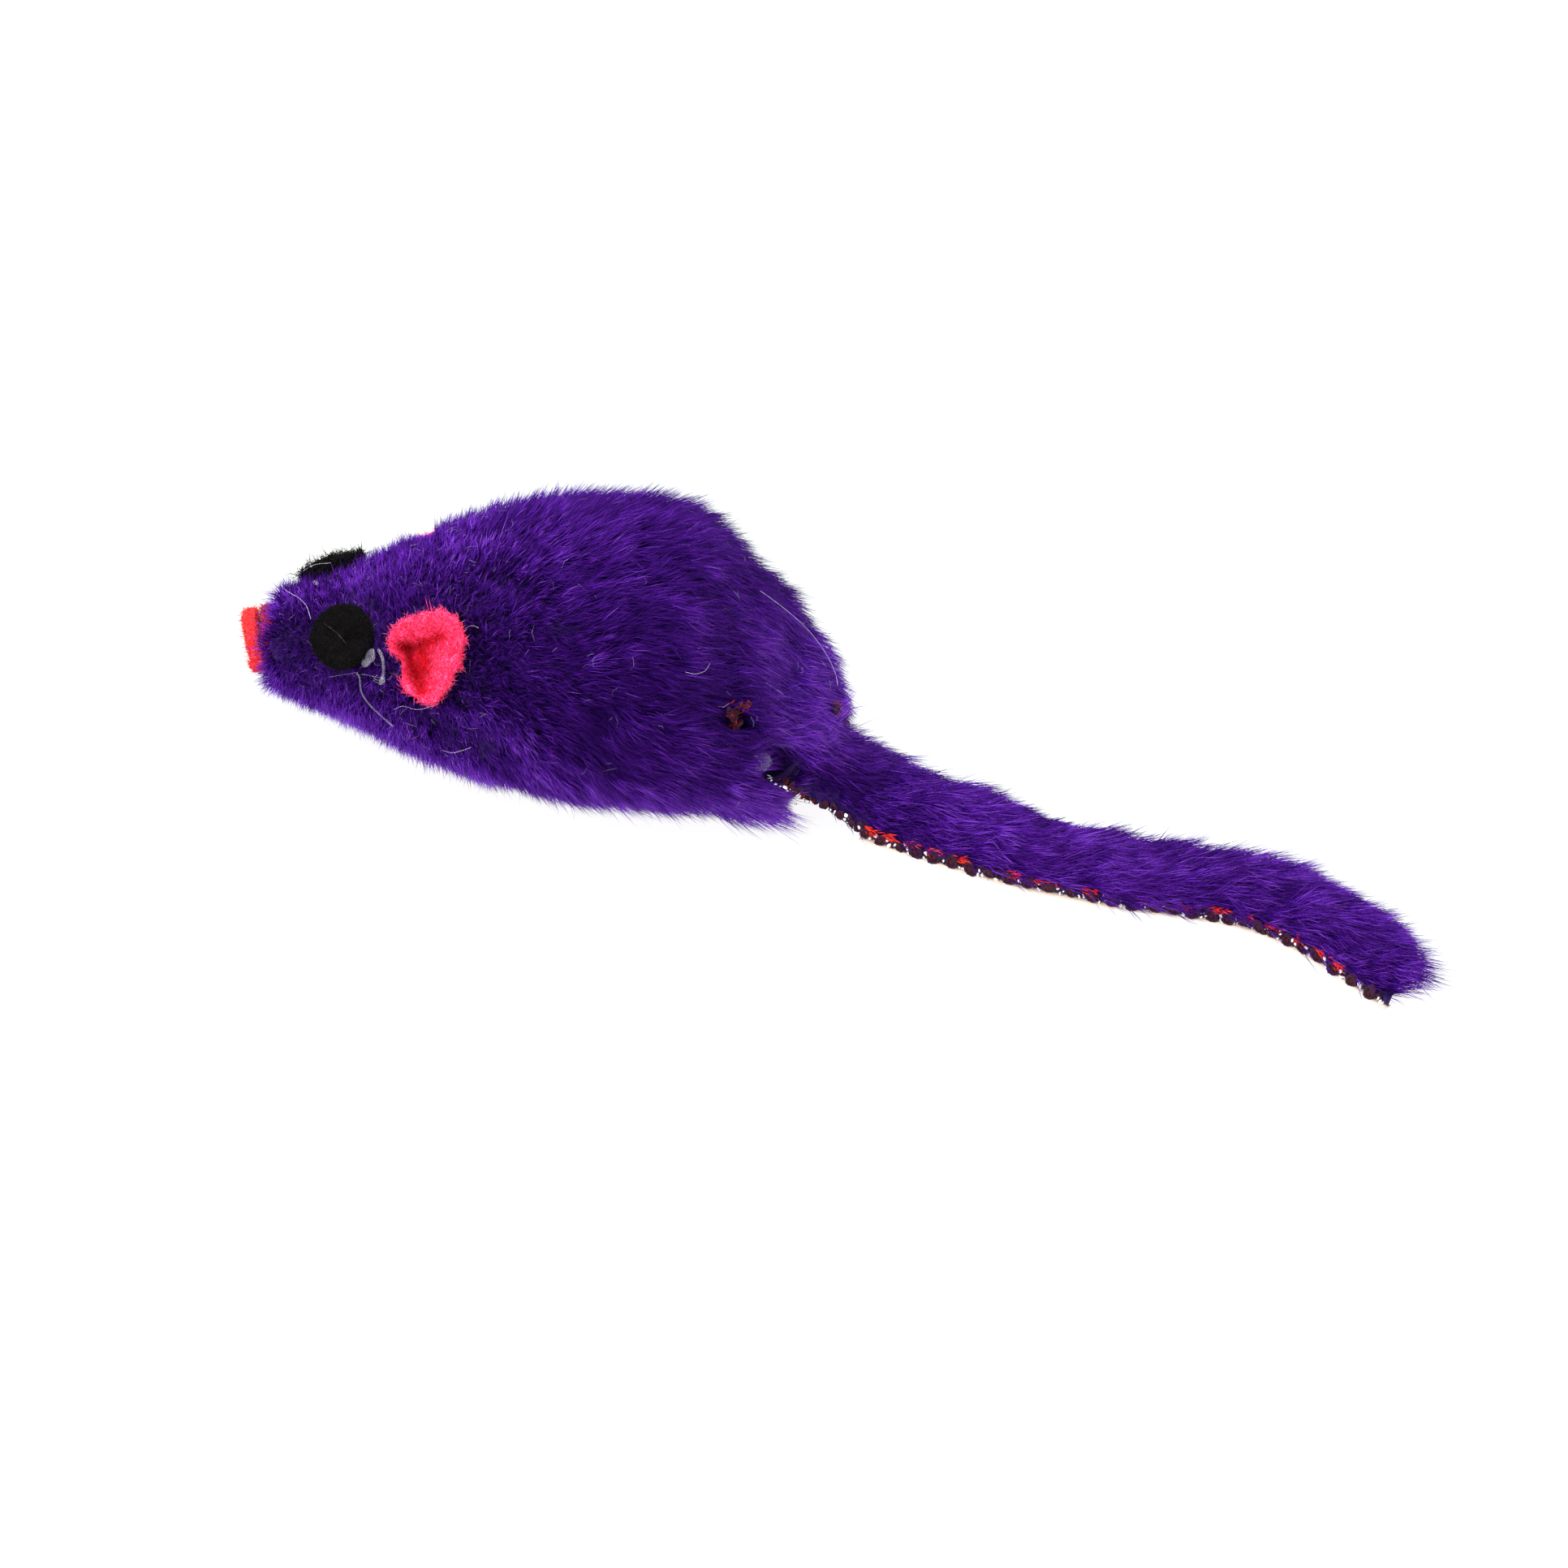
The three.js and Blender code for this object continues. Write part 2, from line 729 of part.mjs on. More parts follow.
function coverForm() {
  let cover = solidOf(bodyForm()).subtract(slab(-cutOverrun, 0));
  cover = cover.subtract(solidOf(coreForm(-gap)));
  cover = cover.subtract(solidOf(seamBox(seamLength, seamWidth, -cutOverrun, bellyThickness + gap)));
  cover = cover.subtract(solidOf(dartCut()));
  cover = cover.subtract(rootRoomForm).subtract(hollowForm()).subtract(rootGlueForm(gap));
  for (const cut of coverCuts) {
    cover = cover.subtract(solidOf(cut));
  }
  return geometryOf(cover);
}

addPiece('fur_body_cover', coverForm(), furFinish);
const seamGlue = seamBox(seamLength - 2 * gap, seamWidth - 2 * gap, gap, gap + seamGlueHeight);
addPiece('belly_seam_glue', seamGlue, glueFinish);
addPiece('cheek_glue_string', cheekString(stringDiameter, stringShares), glueFinish);
addPiece('cheek_glue_thread', cheekString(threadDiameter, threadShares), glueFinish);

export default toy;
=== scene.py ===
"""Purple plush mouse: its fur, felt, knit and glue, dressed over the packed solids.

Lengths on the sidebar are in metres. Tables of the toy's own forms are in millimetres.
"""

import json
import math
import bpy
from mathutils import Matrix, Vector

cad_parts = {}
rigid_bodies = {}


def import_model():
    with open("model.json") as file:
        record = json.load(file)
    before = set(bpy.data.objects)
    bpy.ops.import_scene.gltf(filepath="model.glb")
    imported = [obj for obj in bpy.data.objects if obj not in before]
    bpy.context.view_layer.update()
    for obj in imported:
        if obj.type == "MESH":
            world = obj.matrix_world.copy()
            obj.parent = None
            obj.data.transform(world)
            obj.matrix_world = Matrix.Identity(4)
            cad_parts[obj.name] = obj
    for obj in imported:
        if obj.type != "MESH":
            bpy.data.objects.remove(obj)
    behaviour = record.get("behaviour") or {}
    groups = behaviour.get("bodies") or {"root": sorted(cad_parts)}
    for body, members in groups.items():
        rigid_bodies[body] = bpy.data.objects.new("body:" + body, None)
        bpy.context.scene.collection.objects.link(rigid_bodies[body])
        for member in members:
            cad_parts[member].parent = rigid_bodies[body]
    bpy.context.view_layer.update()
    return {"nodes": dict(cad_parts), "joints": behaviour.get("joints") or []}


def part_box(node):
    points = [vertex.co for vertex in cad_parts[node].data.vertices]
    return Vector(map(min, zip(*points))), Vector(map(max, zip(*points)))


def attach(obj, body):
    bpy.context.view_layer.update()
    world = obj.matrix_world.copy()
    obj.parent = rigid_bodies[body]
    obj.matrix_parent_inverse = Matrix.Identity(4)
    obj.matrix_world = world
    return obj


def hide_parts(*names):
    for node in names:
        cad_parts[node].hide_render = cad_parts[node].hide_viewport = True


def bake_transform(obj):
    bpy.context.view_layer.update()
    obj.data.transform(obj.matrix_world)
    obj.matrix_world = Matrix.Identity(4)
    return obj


bl_info = {
    "name": "Plush Mouse Dressing",
    "version": (1, 0, 0),
    "blender": (4, 5, 0),
    "location": "View3D > Sidebar > Plush Mouse",
    "description": "Grows the fur, felt, knit edge and glue of a plush mouse over its solids",
    "category": "Object",
}

from contextlib import contextmanager

import bpy
import numpy as np
from bpy.props import FloatProperty, FloatVectorProperty, IntProperty, PointerProperty
from mathutils import Matrix, Vector
from mathutils.bvhtree import BVHTree
from mathutils.kdtree import KDTree

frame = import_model()
NODES = frame["nodes"]
JOINTS = {joint["name"]: joint for joint in frame["joints"]}
MM = 0.001

# The view of the photograph: angles in degrees, its middle pixel, the pixel of the row's
# origin, and pixels to a millimetre
VIEW_TURN = 7.0
VIEW_LIFT = 42.0
VIEW_MIDDLE = (966.0, 966.0)
VIEW_ORIGIN = (728.0, 932.0)
VIEW_SCALE = 12.3
VIEW_PIXELS = 1932.0

_turn, _lift = math.radians(VIEW_TURN), math.radians(VIEW_LIFT)
VIEW_RIGHT = Vector((math.cos(_turn), math.sin(_turn), 0))
VIEW_BACK = Vector((
    math.sin(_turn) * math.cos(_lift), -math.cos(_turn) * math.cos(_lift), math.sin(_lift)
))
VIEW_UP = VIEW_BACK.cross(VIEW_RIGHT)

BODY_LOW, BODY_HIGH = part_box("fur_body_cover")

# Pieces that the cover has pits for, and how near them a pit reaches, in metres
FELT_NODES = (
    "left_eye", "right_eye", "left_ear", "right_ear", "nose_rear_disc", "nose_front_disc")
HIDDEN_GLUE = ("left_eye_glue", "right_eye_glue", "left_ear_glue", "right_ear_glue", "nose_glue")
SET_IN = (*FELT_NODES, *HIDDEN_GLUE, "tail_root", "tail_glue")
PIT_REACH = 0.0008

# How the pile changes from nose to rump: share of the body, pile length, height of the pile
# over the cloth, how steeply it leaves the cloth and how steeply it ends (degrees), its curl
PILE_ROWS = (
    (0.00, 1.9, 0.5, 82, 62, 0.30),
    (0.05, 1.8, 1.0, 80, 60, 0.29),
    (0.12, 1.7, 1.2, 78, 58, 0.28),
    (0.28, 2.2, 1.4, 70, 46, 0.24),
    (0.42, 3.3, 1.8, 60, 30, 0.14),
    (0.58, 4.3, 2.3, 54, 20, 0.09),
    (0.80, 4.7, 2.4, 50, 16, 0.09),
    (0.92, 3.9, 1.9, 38, 6, 0.10),
    (1.00, 3.0, 1.3, 30, 2, 0.12),
)

# Middle line of the tail in mm, from the root. Then its width, and shares of its width and
# thickness by share of its length.
TAIL_LINE = (
    (17.7, -2.6, 6.6), (22.7, -3.2, 4.09), (27.7, -3.85, 1.25), (31.7, -5.0, 0.0),
    (37.5, -6.9, 0.0), (45.7, -9.7, 0.0), (53.4, -11.6, 0.0), (61.2, -12.45, 0.0),
    (66.0, -12.95, 0.0), (71.1, -14.3, 0.0), (76.2, -17.0, 0.0), (80.5, -20.3, 0.0),
    (83.8, -22.9, 0.0),
)
TAIL_WIDTH = 9.6
TAIL_SIZES = (
    (0.0, 0.9, 1.0), (0.18, 1.0, 1.0), (0.36, 0.98, 0.98), (0.44, 0.92, 0.93),
    (0.5, 0.84, 0.86), (0.68, 0.82, 0.85), (0.86, 0.84, 0.85), (1.0, 0.84, 0.82),
)
# In mm: between places kept on the middle line, between rings of its cloth, where the cloth starts,
# half the stretch round a joint, and the length of its slanting end
LINE_STEP = 0.1
RING_STEP = 0.8
TAIL_START = 0.6
BEND_REACH = 3.4
TIP_LENGTH = 9.0
# How slantwise the end is cut across
TIP_SKEW = 0.53
# The four lengths of the tail: the joint inside each, the solids that it stands for, and the
# bodies before and after the joint
TAIL_PARTS = {
    "root": ("tail_swing", ("tail_root", "tail_base"), ("mouse_body", "tail_base_body")),
    "base": ("tail_lift", ("tail_fore",), ("tail_base_body", "tail_fore_body")),
    "fore": ("tail_bend", ("tail_aft",), ("tail_fore_body", "tail_aft_body")),
    "end": ("tail_curl", ("tail_tip",), ("tail_aft_body", "tail_tip_body")),
}


# Small helpers for points, meshes and tables

def deselect_all():
    """Nothing is selected and nothing is active."""
    for obj in bpy.context.selected_objects:
        obj.select_set(False)
    bpy.context.view_layer.objects.active = None


def pick(obj):
    """Only this object is selected, and it is the active one."""
    deselect_all()
    obj.select_set(True)
    bpy.context.view_layer.objects.active = obj
    return obj


def named_active(name):
    """The object that was just made, under its own name."""
    obj = bpy.context.active_object
    if obj is None:
        raise RuntimeError(f"{name} was not made")
    obj.name = obj.data.name = name
    return obj


def in_order(obj):
    """Sorts the faces by their corners, because Blender lists the faces of a ball or an extruded
    strip in another order each run, and strands are scattered face by face."""
    mesh = obj.data
    corners = np.zeros(len(mesh.loops), np.int32)
    mesh.loops.foreach_get("vertex_index", corners)
    faces = []
    for face in mesh.polygons:
        at = list(face.loop_indices)
        first = int(corners[at].argmin())
        faces.append(at[first:] + at[:first])
    faces.sort(key=lambda at: corners[at].tolist())
    order = np.concatenate(faces)
    starts = np.cumsum([0] + [len(at) for at in faces[:-1]])
    for layer in mesh.uv_layers:
        values = np.zeros(len(order) * 2)
        layer.data.foreach_get("uv", values)
        layer.data.foreach_set("uv", values.reshape(-1, 2)[order].ravel())
    mesh.loops.foreach_set("vertex_index", corners[order])
    mesh.polygons.foreach_set("loop_start", starts.astype(np.int32))
    mesh.update(calc_edges=True)
    return obj


def primitive(name, add, **settings):
    """A new primitive under its own name, with its place and turn in its mesh."""
    deselect_all()
    add(**settings)
    obj = pick(named_active(name))
    bpy.ops.object.transform_apply(location=True, rotation=True, scale=True)
    return in_order(obj)


def linked_object(name, data):
    """An object of this data, in the scene and picked."""
    obj = bpy.data.objects.new(name, data)
    bpy.context.scene.collection.objects.link(obj)
    return pick(obj)


@contextmanager
def whole_mesh(obj):
    """Edit mode with all of the object's mesh selected, and back."""
    pick(obj)
    bpy.ops.object.mode_set(mode="EDIT")
    bpy.ops.mesh.select_all(action="SELECT")
    yield
    bpy.ops.object.mode_set(mode="OBJECT")


def shade_smooth(obj):
    obj.data.polygons.foreach_set("use_smooth", np.ones(len(obj.data.polygons), bool))


def smooth(obj):
    """Outward faces, shaded smooth."""
    with whole_mesh(obj):
        bpy.ops.mesh.normals_make_consistent(inside=False)
    shade_smooth(obj)


def finish_modifiers(obj):
    """Applies every modifier in order."""
    pick(obj)
    for modifier in list(obj.modifiers):
        bpy.ops.object.modifier_apply(modifier=modifier.name)
    return obj


def mesh_points(obj):
    """The mesh's points and its smooth normals, as arrays."""
    mesh = obj.data
    points = np.zeros(len(mesh.vertices) * 3)
    normals = np.zeros(len(mesh.vertices) * 3)
    mesh.vertices.foreach_get("co", points)
    mesh.vertices.foreach_get("normal", normals)
    return points.reshape(-1, 3), normals.reshape(-1, 3)


def set_points(obj, points):
    """Moves the mesh's points to these places."""
    obj.data.vertices.foreach_set("co", np.asarray(points, float).ravel())
    obj.data.update()


def unit(vectors):
    """Vectors drawn to a length of one."""
    vectors = np.asarray(vectors, float)
    return vectors / np.maximum(np.linalg.norm(vectors, axis=-1, keepdims=True), 1e-12)


def table(rows, at, column=1):
    """A column of a table at these values of its first one."""
    rows = np.asarray(rows, float)
    return np.interp(at, rows[:, 0], rows[:, column])


def ramped(values, start, end):
    """0 up to the start and 1 from the end on, with a straight ramp between. Either may be lower."""
    return np.clip((values - start) / (end - start), 0, 1)


def curve_through(knots, steps):
    """A smooth line of places through these, with so many steps between two of them."""
    knots = np.array(knots, float)
    gaps = np.linalg.norm(np.diff(knots, axis=0), axis=1) ** 0.5
    times = np.concatenate(([0], np.cumsum(gaps)))
    slopes = np.zeros_like(knots)
    for at in range(len(knots)):
        before, after = max(at - 1, 0), min(at + 1, len(knots) - 1)
        slopes[at] = (knots[after] - knots[before]) / (times[after] - times[before])
    fine = []
    for at in range(len(knots) - 1):
        span = times[at + 1] - times[at]
        for h in np.linspace(0, 1, steps, endpoint=False):
            fine.append(
                knots[at] * (2 * h**3 - 3 * h**2 + 1) + slopes[at] * span * (h**3 - 2 * h**2 + h)
                + knots[at + 1] * (-2 * h**3 + 3 * h**2) + slopes[at + 1] * span * (h**3 - h**2))
    return np.array(fine + [knots[-1]])


def waves(points, size, seed, count=14):
    """Smooth unevenness over points, about -1 to 1, in lumps of that size in metres."""
    rng = np.random.default_rng(seed)
    turns = unit(rng.normal(size=(count, 3))) * (2 * math.pi / size)
    turns *= rng.uniform(0.6, 1.5, (count, 1))
    phases = rng.uniform(0, 2 * math.pi, count)
    return np.sin(points @ turns.T + phases).sum(1) / math.sqrt(count / 2) * 0.6


def solid_tree(*names):
    """One search tree over the surfaces of these nodes or objects."""
    points, faces = [], []
    for name in names:
        mesh = bpy.data.objects[name].data
        first = len(points)
        points += [vertex.co.copy() for vertex in mesh.vertices]
        faces += [[first + at for at in face.vertices] for face in mesh.polygons]
    return BVHTree.FromPolygons(points, faces)


def seen_at(tree, across, down, lift=0.0):
    """The place on a surface that shows at a pixel of the photograph, and the way out of it."""
    right = (across - VIEW_ORIGIN[0]) / VIEW_SCALE * MM
    up = (VIEW_ORIGIN[1] - down) / VIEW_SCALE * MM
    start = VIEW_RIGHT * right + VIEW_UP * up + VIEW_BACK * 0.3
    place, normal, _, _ = tree.ray_cast(start, -VIEW_BACK)
    if place is None:
        raise RuntimeError(f"nothing shows at {across}, {down}")
    if normal.dot(VIEW_BACK) < 0:
        normal.negate()
    return place + normal * lift, normal


def to_photo(points):
    """Photograph pixels of places."""
    points = np.asarray(points) / MM * VIEW_SCALE
    return np.stack((
        VIEW_ORIGIN[0] + points @ np.array(VIEW_RIGHT), VIEW_ORIGIN[1] - points @ np.array(VIEW_UP)
    ), 1)


def off_line(pixels, line):
    """Distance in mm from pixels to a line of pixels."""
    best = np.full(len(pixels), np.inf)
    for a, b in zip(np.array(line[:-1], float), np.array(line[1:], float)):
        share = np.clip(((pixels - a) @ (b - a)) / ((b - a) @ (b - a)), 0, 1)
        best = np.minimum(best, np.linalg.norm(pixels - (a + share[:, None] * (b - a)), axis=1))
    return best / VIEW_SCALE


def along_line(pixels, line, wide):
    """1 on a line of pixels, falling off softly over a half width in mm."""
    return np.exp(-((off_line(pixels, line) / wide) ** 2))


# Materials

class Nodes:
    """Short ways to add nodes to one tree and to fill their sockets."""

    def __init__(self, tree):
        self.tree = tree

    def fill(self, node, *first, **named):
        """The first sockets in order, and others by name, get a value or another node's output."""
        named = {name.replace("_", " "): value for name, value in named.items()}
        for key, value in (*enumerate(first), *named.items()):
            if isinstance(value, bpy.types.NodeSocket):
                self.tree.links.new(value, node.inputs[key])
            else:
                node.inputs[key].default_value = value
        return node

    def add(self, kind, *first, settings=None, **named):
        """A new node with its settings and sockets."""
        node = self.tree.nodes.new(f"ShaderNode{kind}")
        for key, value in (settings or {}).items():
            setattr(node, key, value)
        return self.fill(node, *first, **named)

    def noise(self, place, **named):
        """A noise texture at these coordinates."""
        return self.add("TexNoise", Vector=place, **named)

    def math(self, operation, *values, kind="Math"):
        """The first output of a calculation."""
        return self.add(kind, *values, settings={"operation": operation}).outputs[0]

    def largest(self, values):
        """The largest of several outputs."""
        most = values[0]
        for value in values[1:]:
            most = self.math("MAXIMUM", most, value)
        return most

    def ramp(self, factor, *stops):
        """The colour at this factor between stops, each a place and a colour."""
        node = self.add("ValToRGB", factor)
        elements = node.color_ramp.elements
        for element, (place, value) in zip(elements, (stops[0], stops[-1])):
            element.position, element.color = place, colour(value)
        for place, value in stops[1:-1]:
            elements.new(place).color = colour(value)
        return node.outputs["Color"]

    def multiplied(self, first, second):
        """Two colours multiplied."""
        mix = self.add("Mix", 1.0, settings={"data_type": "RGBA", "blend_type": "MULTIPLY"})
        self.tree.links.new(first, mix.inputs[6])
        self.tree.links.new(second, mix.inputs[7])
        return mix.outputs[2]

    def relief(self, height, strength):
        """Normals with a fine bump that follows a height."""
        return self.add("Bump", Strength=strength, Distance=0.0002, Height=height).outputs["Normal"]


def new_material(name):
    """A material with its shader and its nodes."""
    material = bpy.data.materials.new(name)
    material.use_nodes = True
    return material, material.node_tree.nodes["Principled BSDF"], Nodes(material.node_tree)


def colour(values):
    """A colour with its opacity."""
    return (*values[:3], 1.0)


def scaled(values, factor):
    """Each value times the factor."""
    return tuple(value * factor for value in values)


# How a fibre's tone dims its colour at a tone of 0, 0.5 and 0.78
PLAIN_DIM = ((0.4,) * 3, (0.75,) * 3, (0.9,) * 3)


def strand_material(
        name, root, middle, tip, roughness=0.5, sheen=0.02, lilac=(0.55, 0.3, 1.0), gloss=0.05,
        dim=((0.13, 0.03, 0.20), (0.40, 0.15, 0.52), (0.66, 0.40, 0.80))):
    """Fibres: dark at the root, which is painted shade down in the pile, and light at the tip, which is
    painted light on the ends, each with its own tone, from their map.
    """
    material, shader, nodes = new_material(name)
    uv = nodes.add("UVMap", settings={"uv_map": "OFBake"}).outputs["UV"]
    parts = nodes.add("SeparateXYZ", uv)
    along = nodes.ramp(parts.outputs["Y"], (0.0, root), (0.45, middle), (1.0, tip))
    tone = nodes.ramp(
        parts.outputs["X"], (0.0, dim[0]), (0.5, dim[1]), (0.78, dim[2]), (1.0, (1.0,) * 3))
    nodes.fill(
        shader, Base_Color=nodes.multiplied(along, tone), Roughness=roughness, Sheen_Weight=sheen,
        Sheen_Roughness=0.4, Sheen_Tint=colour(lilac), Specular_IOR_Level=gloss)
    return material


def cloth_material(name, dark, light, scale, roughness=0.9, bump=0.3, sheen=0.1):
    """Matted fibres or knitted backing: two tones in fine threads, with a bump that follows them."""
    material, shader, nodes = new_material(name)
    place = nodes.add("TexCoord").outputs["Object"]
    noise = nodes.noise(place, Scale=scale, Detail=8.0, Roughness=0.65, Distortion=1.2)
    fine = nodes.noise(place, Scale=scale * 4.3, Detail=4.0, Roughness=0.7, Distortion=2.5)
    both = nodes.math("MULTIPLY_ADD", fine.outputs["Fac"], 0.5, noise.outputs["Fac"])
    half = tuple((a + b) / 2 for a, b in zip(dark, light))
    nodes.fill(
        shader, Base_Color=nodes.ramp(both, (0.48, dark), (0.72, half), (0.98, light)),
        Normal=nodes.relief(both, bump), Roughness=roughness, Sheen_Weight=sheen, Sheen_Roughness=0.5,
        Specular_IOR_Level=0.2)
    return material


# Strands of pile and fibre

def form_template(obj):
    """Points and faces of a form that is modelled once, and then copied."""
    points, _ = mesh_points(obj)
    faces = [list(face.vertices) for face in obj.data.polygons]
    bpy.data.objects.remove(obj)
    return points, faces


def strand_template():
    """One fibre, modelled once: three-sided, with a ring half way and drawn out to a point."""
    blade = primitive(
        "strand_template", bpy.ops.mesh.primitive_cone_add, vertices=3, radius1=1.0, radius2=0.0,
        depth=1.0, location=(0, 0, 0.5))
    with whole_mesh(blade):
        bpy.ops.mesh.bisect(plane_co=(0, 0, 0.5), plane_no=(0, 0, 1))
        bpy.ops.transform.resize(value=(1.55, 1.55, 1.0), center_override=(0, 0, 0.5))
    points, faces = form_template(blade)
    if len(points) != 7 or len(faces) != 7:
        raise RuntimeError(f"the fibre has {len(points)} points and {len(faces)} faces")
    return points, faces


def stacked(name, places, faces, material):
    """One mesh of many copies of a form: the places of each copy's points, and the form's faces."""
    count, size = places.shape[:2]
    corners = np.array([at for face in faces for at in face])
    sizes = np.array([len(face) for face in faces])
    mesh = bpy.data.meshes.new(name)
    mesh.vertices.add(count * size)
    mesh.vertices.foreach_set("co", places.ravel())
    mesh.loops.add(count * len(corners))
    loops = corners[None] + (np.arange(count) * size)[:, None]
    mesh.loops.foreach_set("vertex_index", loops.ravel().astype(np.int32))
    mesh.polygons.add(count * len(faces))
    starts = np.concatenate(([0], np.cumsum(sizes)[:-1]))
    starts = starts[None] + (np.arange(count) * len(corners))[:, None]
    mesh.polygons.foreach_set("loop_start", starts.ravel().astype(np.int32))
    mesh.update(calc_edges=True)
    mesh.polygons.foreach_set("use_smooth", np.ones(count * len(faces), bool))
    mesh.materials.append(material)
    return linked_object(name, mesh)


# How low the line of a strand can lie, in metres. Its map keeps a margin: across is the tone, with
# a little width, and up is the length.
LOWEST_STRAND = 0.00006
MAP_EDGE = 0.01
MAP_WIDTH = 0.004


def strand_object(name, roots, bends, tips, facing, widths, tones, material, flatness=0.55):
    """Copies of the one fibre, each bent from its root past its bend to its tip, in one mesh."""
    points, faces = TEMPLATE
    count = len(roots)
    share = points[:, 2][None, :, None]
    line = (
        roots[:, None] * (1 - share) ** 2
        + bends[:, None] * (2 * share * (1 - share))
        + tips[:, None] * share**2
    )
    along = unit(tips - roots)
    across = unit(np.cross(along, facing))
    out = np.cross(across, along)
    half = (np.asarray(widths) / 2)[:, None, None]
    line = line + half * (
        points[:, 0][None, :, None] * across[:, None]
        + points[:, 1][None, :, None] * flatness * out[:, None]
    )
    line[..., 2] = np.maximum(line[..., 2], LOWEST_STRAND)
    obj = stacked(name, line, faces, material)
    corners = np.array([at for face in faces for at in face])
    uv = obj.data.uv_layers.new(name="OFBake")
    tones = np.clip(np.asarray(tones)[:, None], MAP_EDGE, 1 - MAP_EDGE)
    coords = np.empty((count, len(corners), 2))
    coords[..., 0] = tones + MAP_WIDTH * points[corners, 0]
    coords[..., 1] = MAP_EDGE + (1 - 2 * MAP_EDGE) * points[corners, 2]
    uv.data.foreach_set("uv", coords.ravel())
    return obj


def scatter(obj, density, rng):
    """Random places on a mesh with their normals. Density, a count per square metre, is a function
    of the middles and normals of the faces."""
    mesh = obj.data
    mesh.calc_loop_triangles()
    corners = np.zeros(len(mesh.loop_triangles) * 3, np.int32)
    mesh.loop_triangles.foreach_get("vertices", corners)
    corners = corners.reshape(-1, 3)
    points, normals = mesh_points(obj)
    a, b, c = (points[corners[:, at]] for at in range(3))
    cross = np.cross(b - a, c - a)
    areas = np.linalg.norm(cross, axis=1) / 2
    wanted = areas * density((a + b + c) / 3, unit(cross))
    total = int(wanted.sum())
    picked = np.searchsorted(np.cumsum(wanted) / wanted.sum(), rng.random(total))
    picked = np.minimum(picked, len(corners) - 1)
    first, second = rng.random(total), rng.random(total)
    over = first + second > 1
    first[over], second[over] = 1 - first[over], 1 - second[over]
    shares = np.stack((1 - first - second, first, second), 1)[..., None]
    places = (points[corners[picked]] * shares).sum(1)
    ways = unit((normals[corners[picked]] * shares).sum(1))
    return places, ways


def scatter_many(obj, density, count, rng):
    """About that many random places on a mesh with their normals, as dense as the density says."""
    trial, _ = scatter(obj, density, np.random.default_rng(1))
    factor = count / len(trial)
    return scatter(obj, lambda middles, ways: density(middles, ways) * factor, rng)


def tufts_of(places, ground, size, rng):
    """For each place, which tuft of the pile it is in."""
    centres, _ = scatter(ground, lambda middles, ways: np.full(len(middles), 1 / size**2), rng)
    tree = KDTree(len(centres))
    for at, centre in enumerate(centres):
        tree.insert(centre, at)
    tree.balance()
    return np.array([tree.find(place)[1] for place in places])


def pile(places, normals, flow, length, steep, lie, curl, tufts, rng, pull=0.25, stray=0.24):
    """Lays strands: roots, bends and tips. Flow is the way that the pile lies, steep and lie are its
    angles over the cloth at root and tip, and strands near one tuft centre lean together."""
    flow = unit(flow - normals * (flow * normals).sum(1, keepdims=True))
    side = np.cross(normals, flow)
    count = len(places)
    tuft_random = rng.normal(size=(tufts.max() + 1, 5))
    tuft = tuft_random[tufts]
    swing = 0.16 * tuft[:, 0] * (0.6 + 3 * curl) + stray * rng.normal(size=count)
    swing += 0.22 * waves(places, 0.009, 11) + 0.14 * waves(places, 0.004, 12)
    flow = flow * np.cos(swing)[:, None] + side * np.sin(swing)[:, None]
    side = np.cross(normals, flow)
    lift = 0.10 * tuft[:, 1] + 0.08 * rng.normal(size=count) + 0.10 * waves(places, 0.005, 13)
    spread = 1 + 0.08 * tuft[:, 2] + 0.2 * rng.normal(size=count)
    length = (length * np.clip(spread, 0.4, 1.35))[:, None]
    first, last = (steep + lift)[:, None], (lie + lift * 0.8)[:, None]
    bends = places + length * 0.5 * (flow * np.cos(first) + normals * np.sin(first))
    tips = bends + length * 0.5 * (flow * np.cos(last) + normals * np.sin(last))
    wander = rng.normal(size=(count, 3))
    tips = tips + wander * length * (curl * 0.5)[:, None]
    bends = bends - wander * length * (curl * 0.35)[:, None]
    # Tips gather towards the middle of their tuft
    tuft_tips = np.zeros((tufts.max() + 1, 3))
    members = np.bincount(tufts, minlength=tufts.max() + 1)[:, None]
    np.add.at(tuft_tips, tufts, tips)
    tuft_tips /= np.maximum(members, 1)
    draw = (pull * rng.uniform(0.2, 1.0, count))[:, None]
    tips = tips + (tuft_tips[tufts] - tips) * draw
    facing = unit(normals + 0.7 * rng.normal(size=(count, 3)))
    return bends, tips, facing, tuft[:, 3]


# Settings that the sidebar shows

def tint(name, description, default):
    """A colour on the sidebar."""
    return FloatVectorProperty(
        name=name, description=description, subtype="COLOR", size=3, min=0, max=1, default=default)


def small_length(name, description, default, least, most):
    """A small length on the sidebar, in metres."""
    return FloatProperty(
        name=name, description=description, unit="LENGTH", default=default, min=least, max=most,
        precision=5)


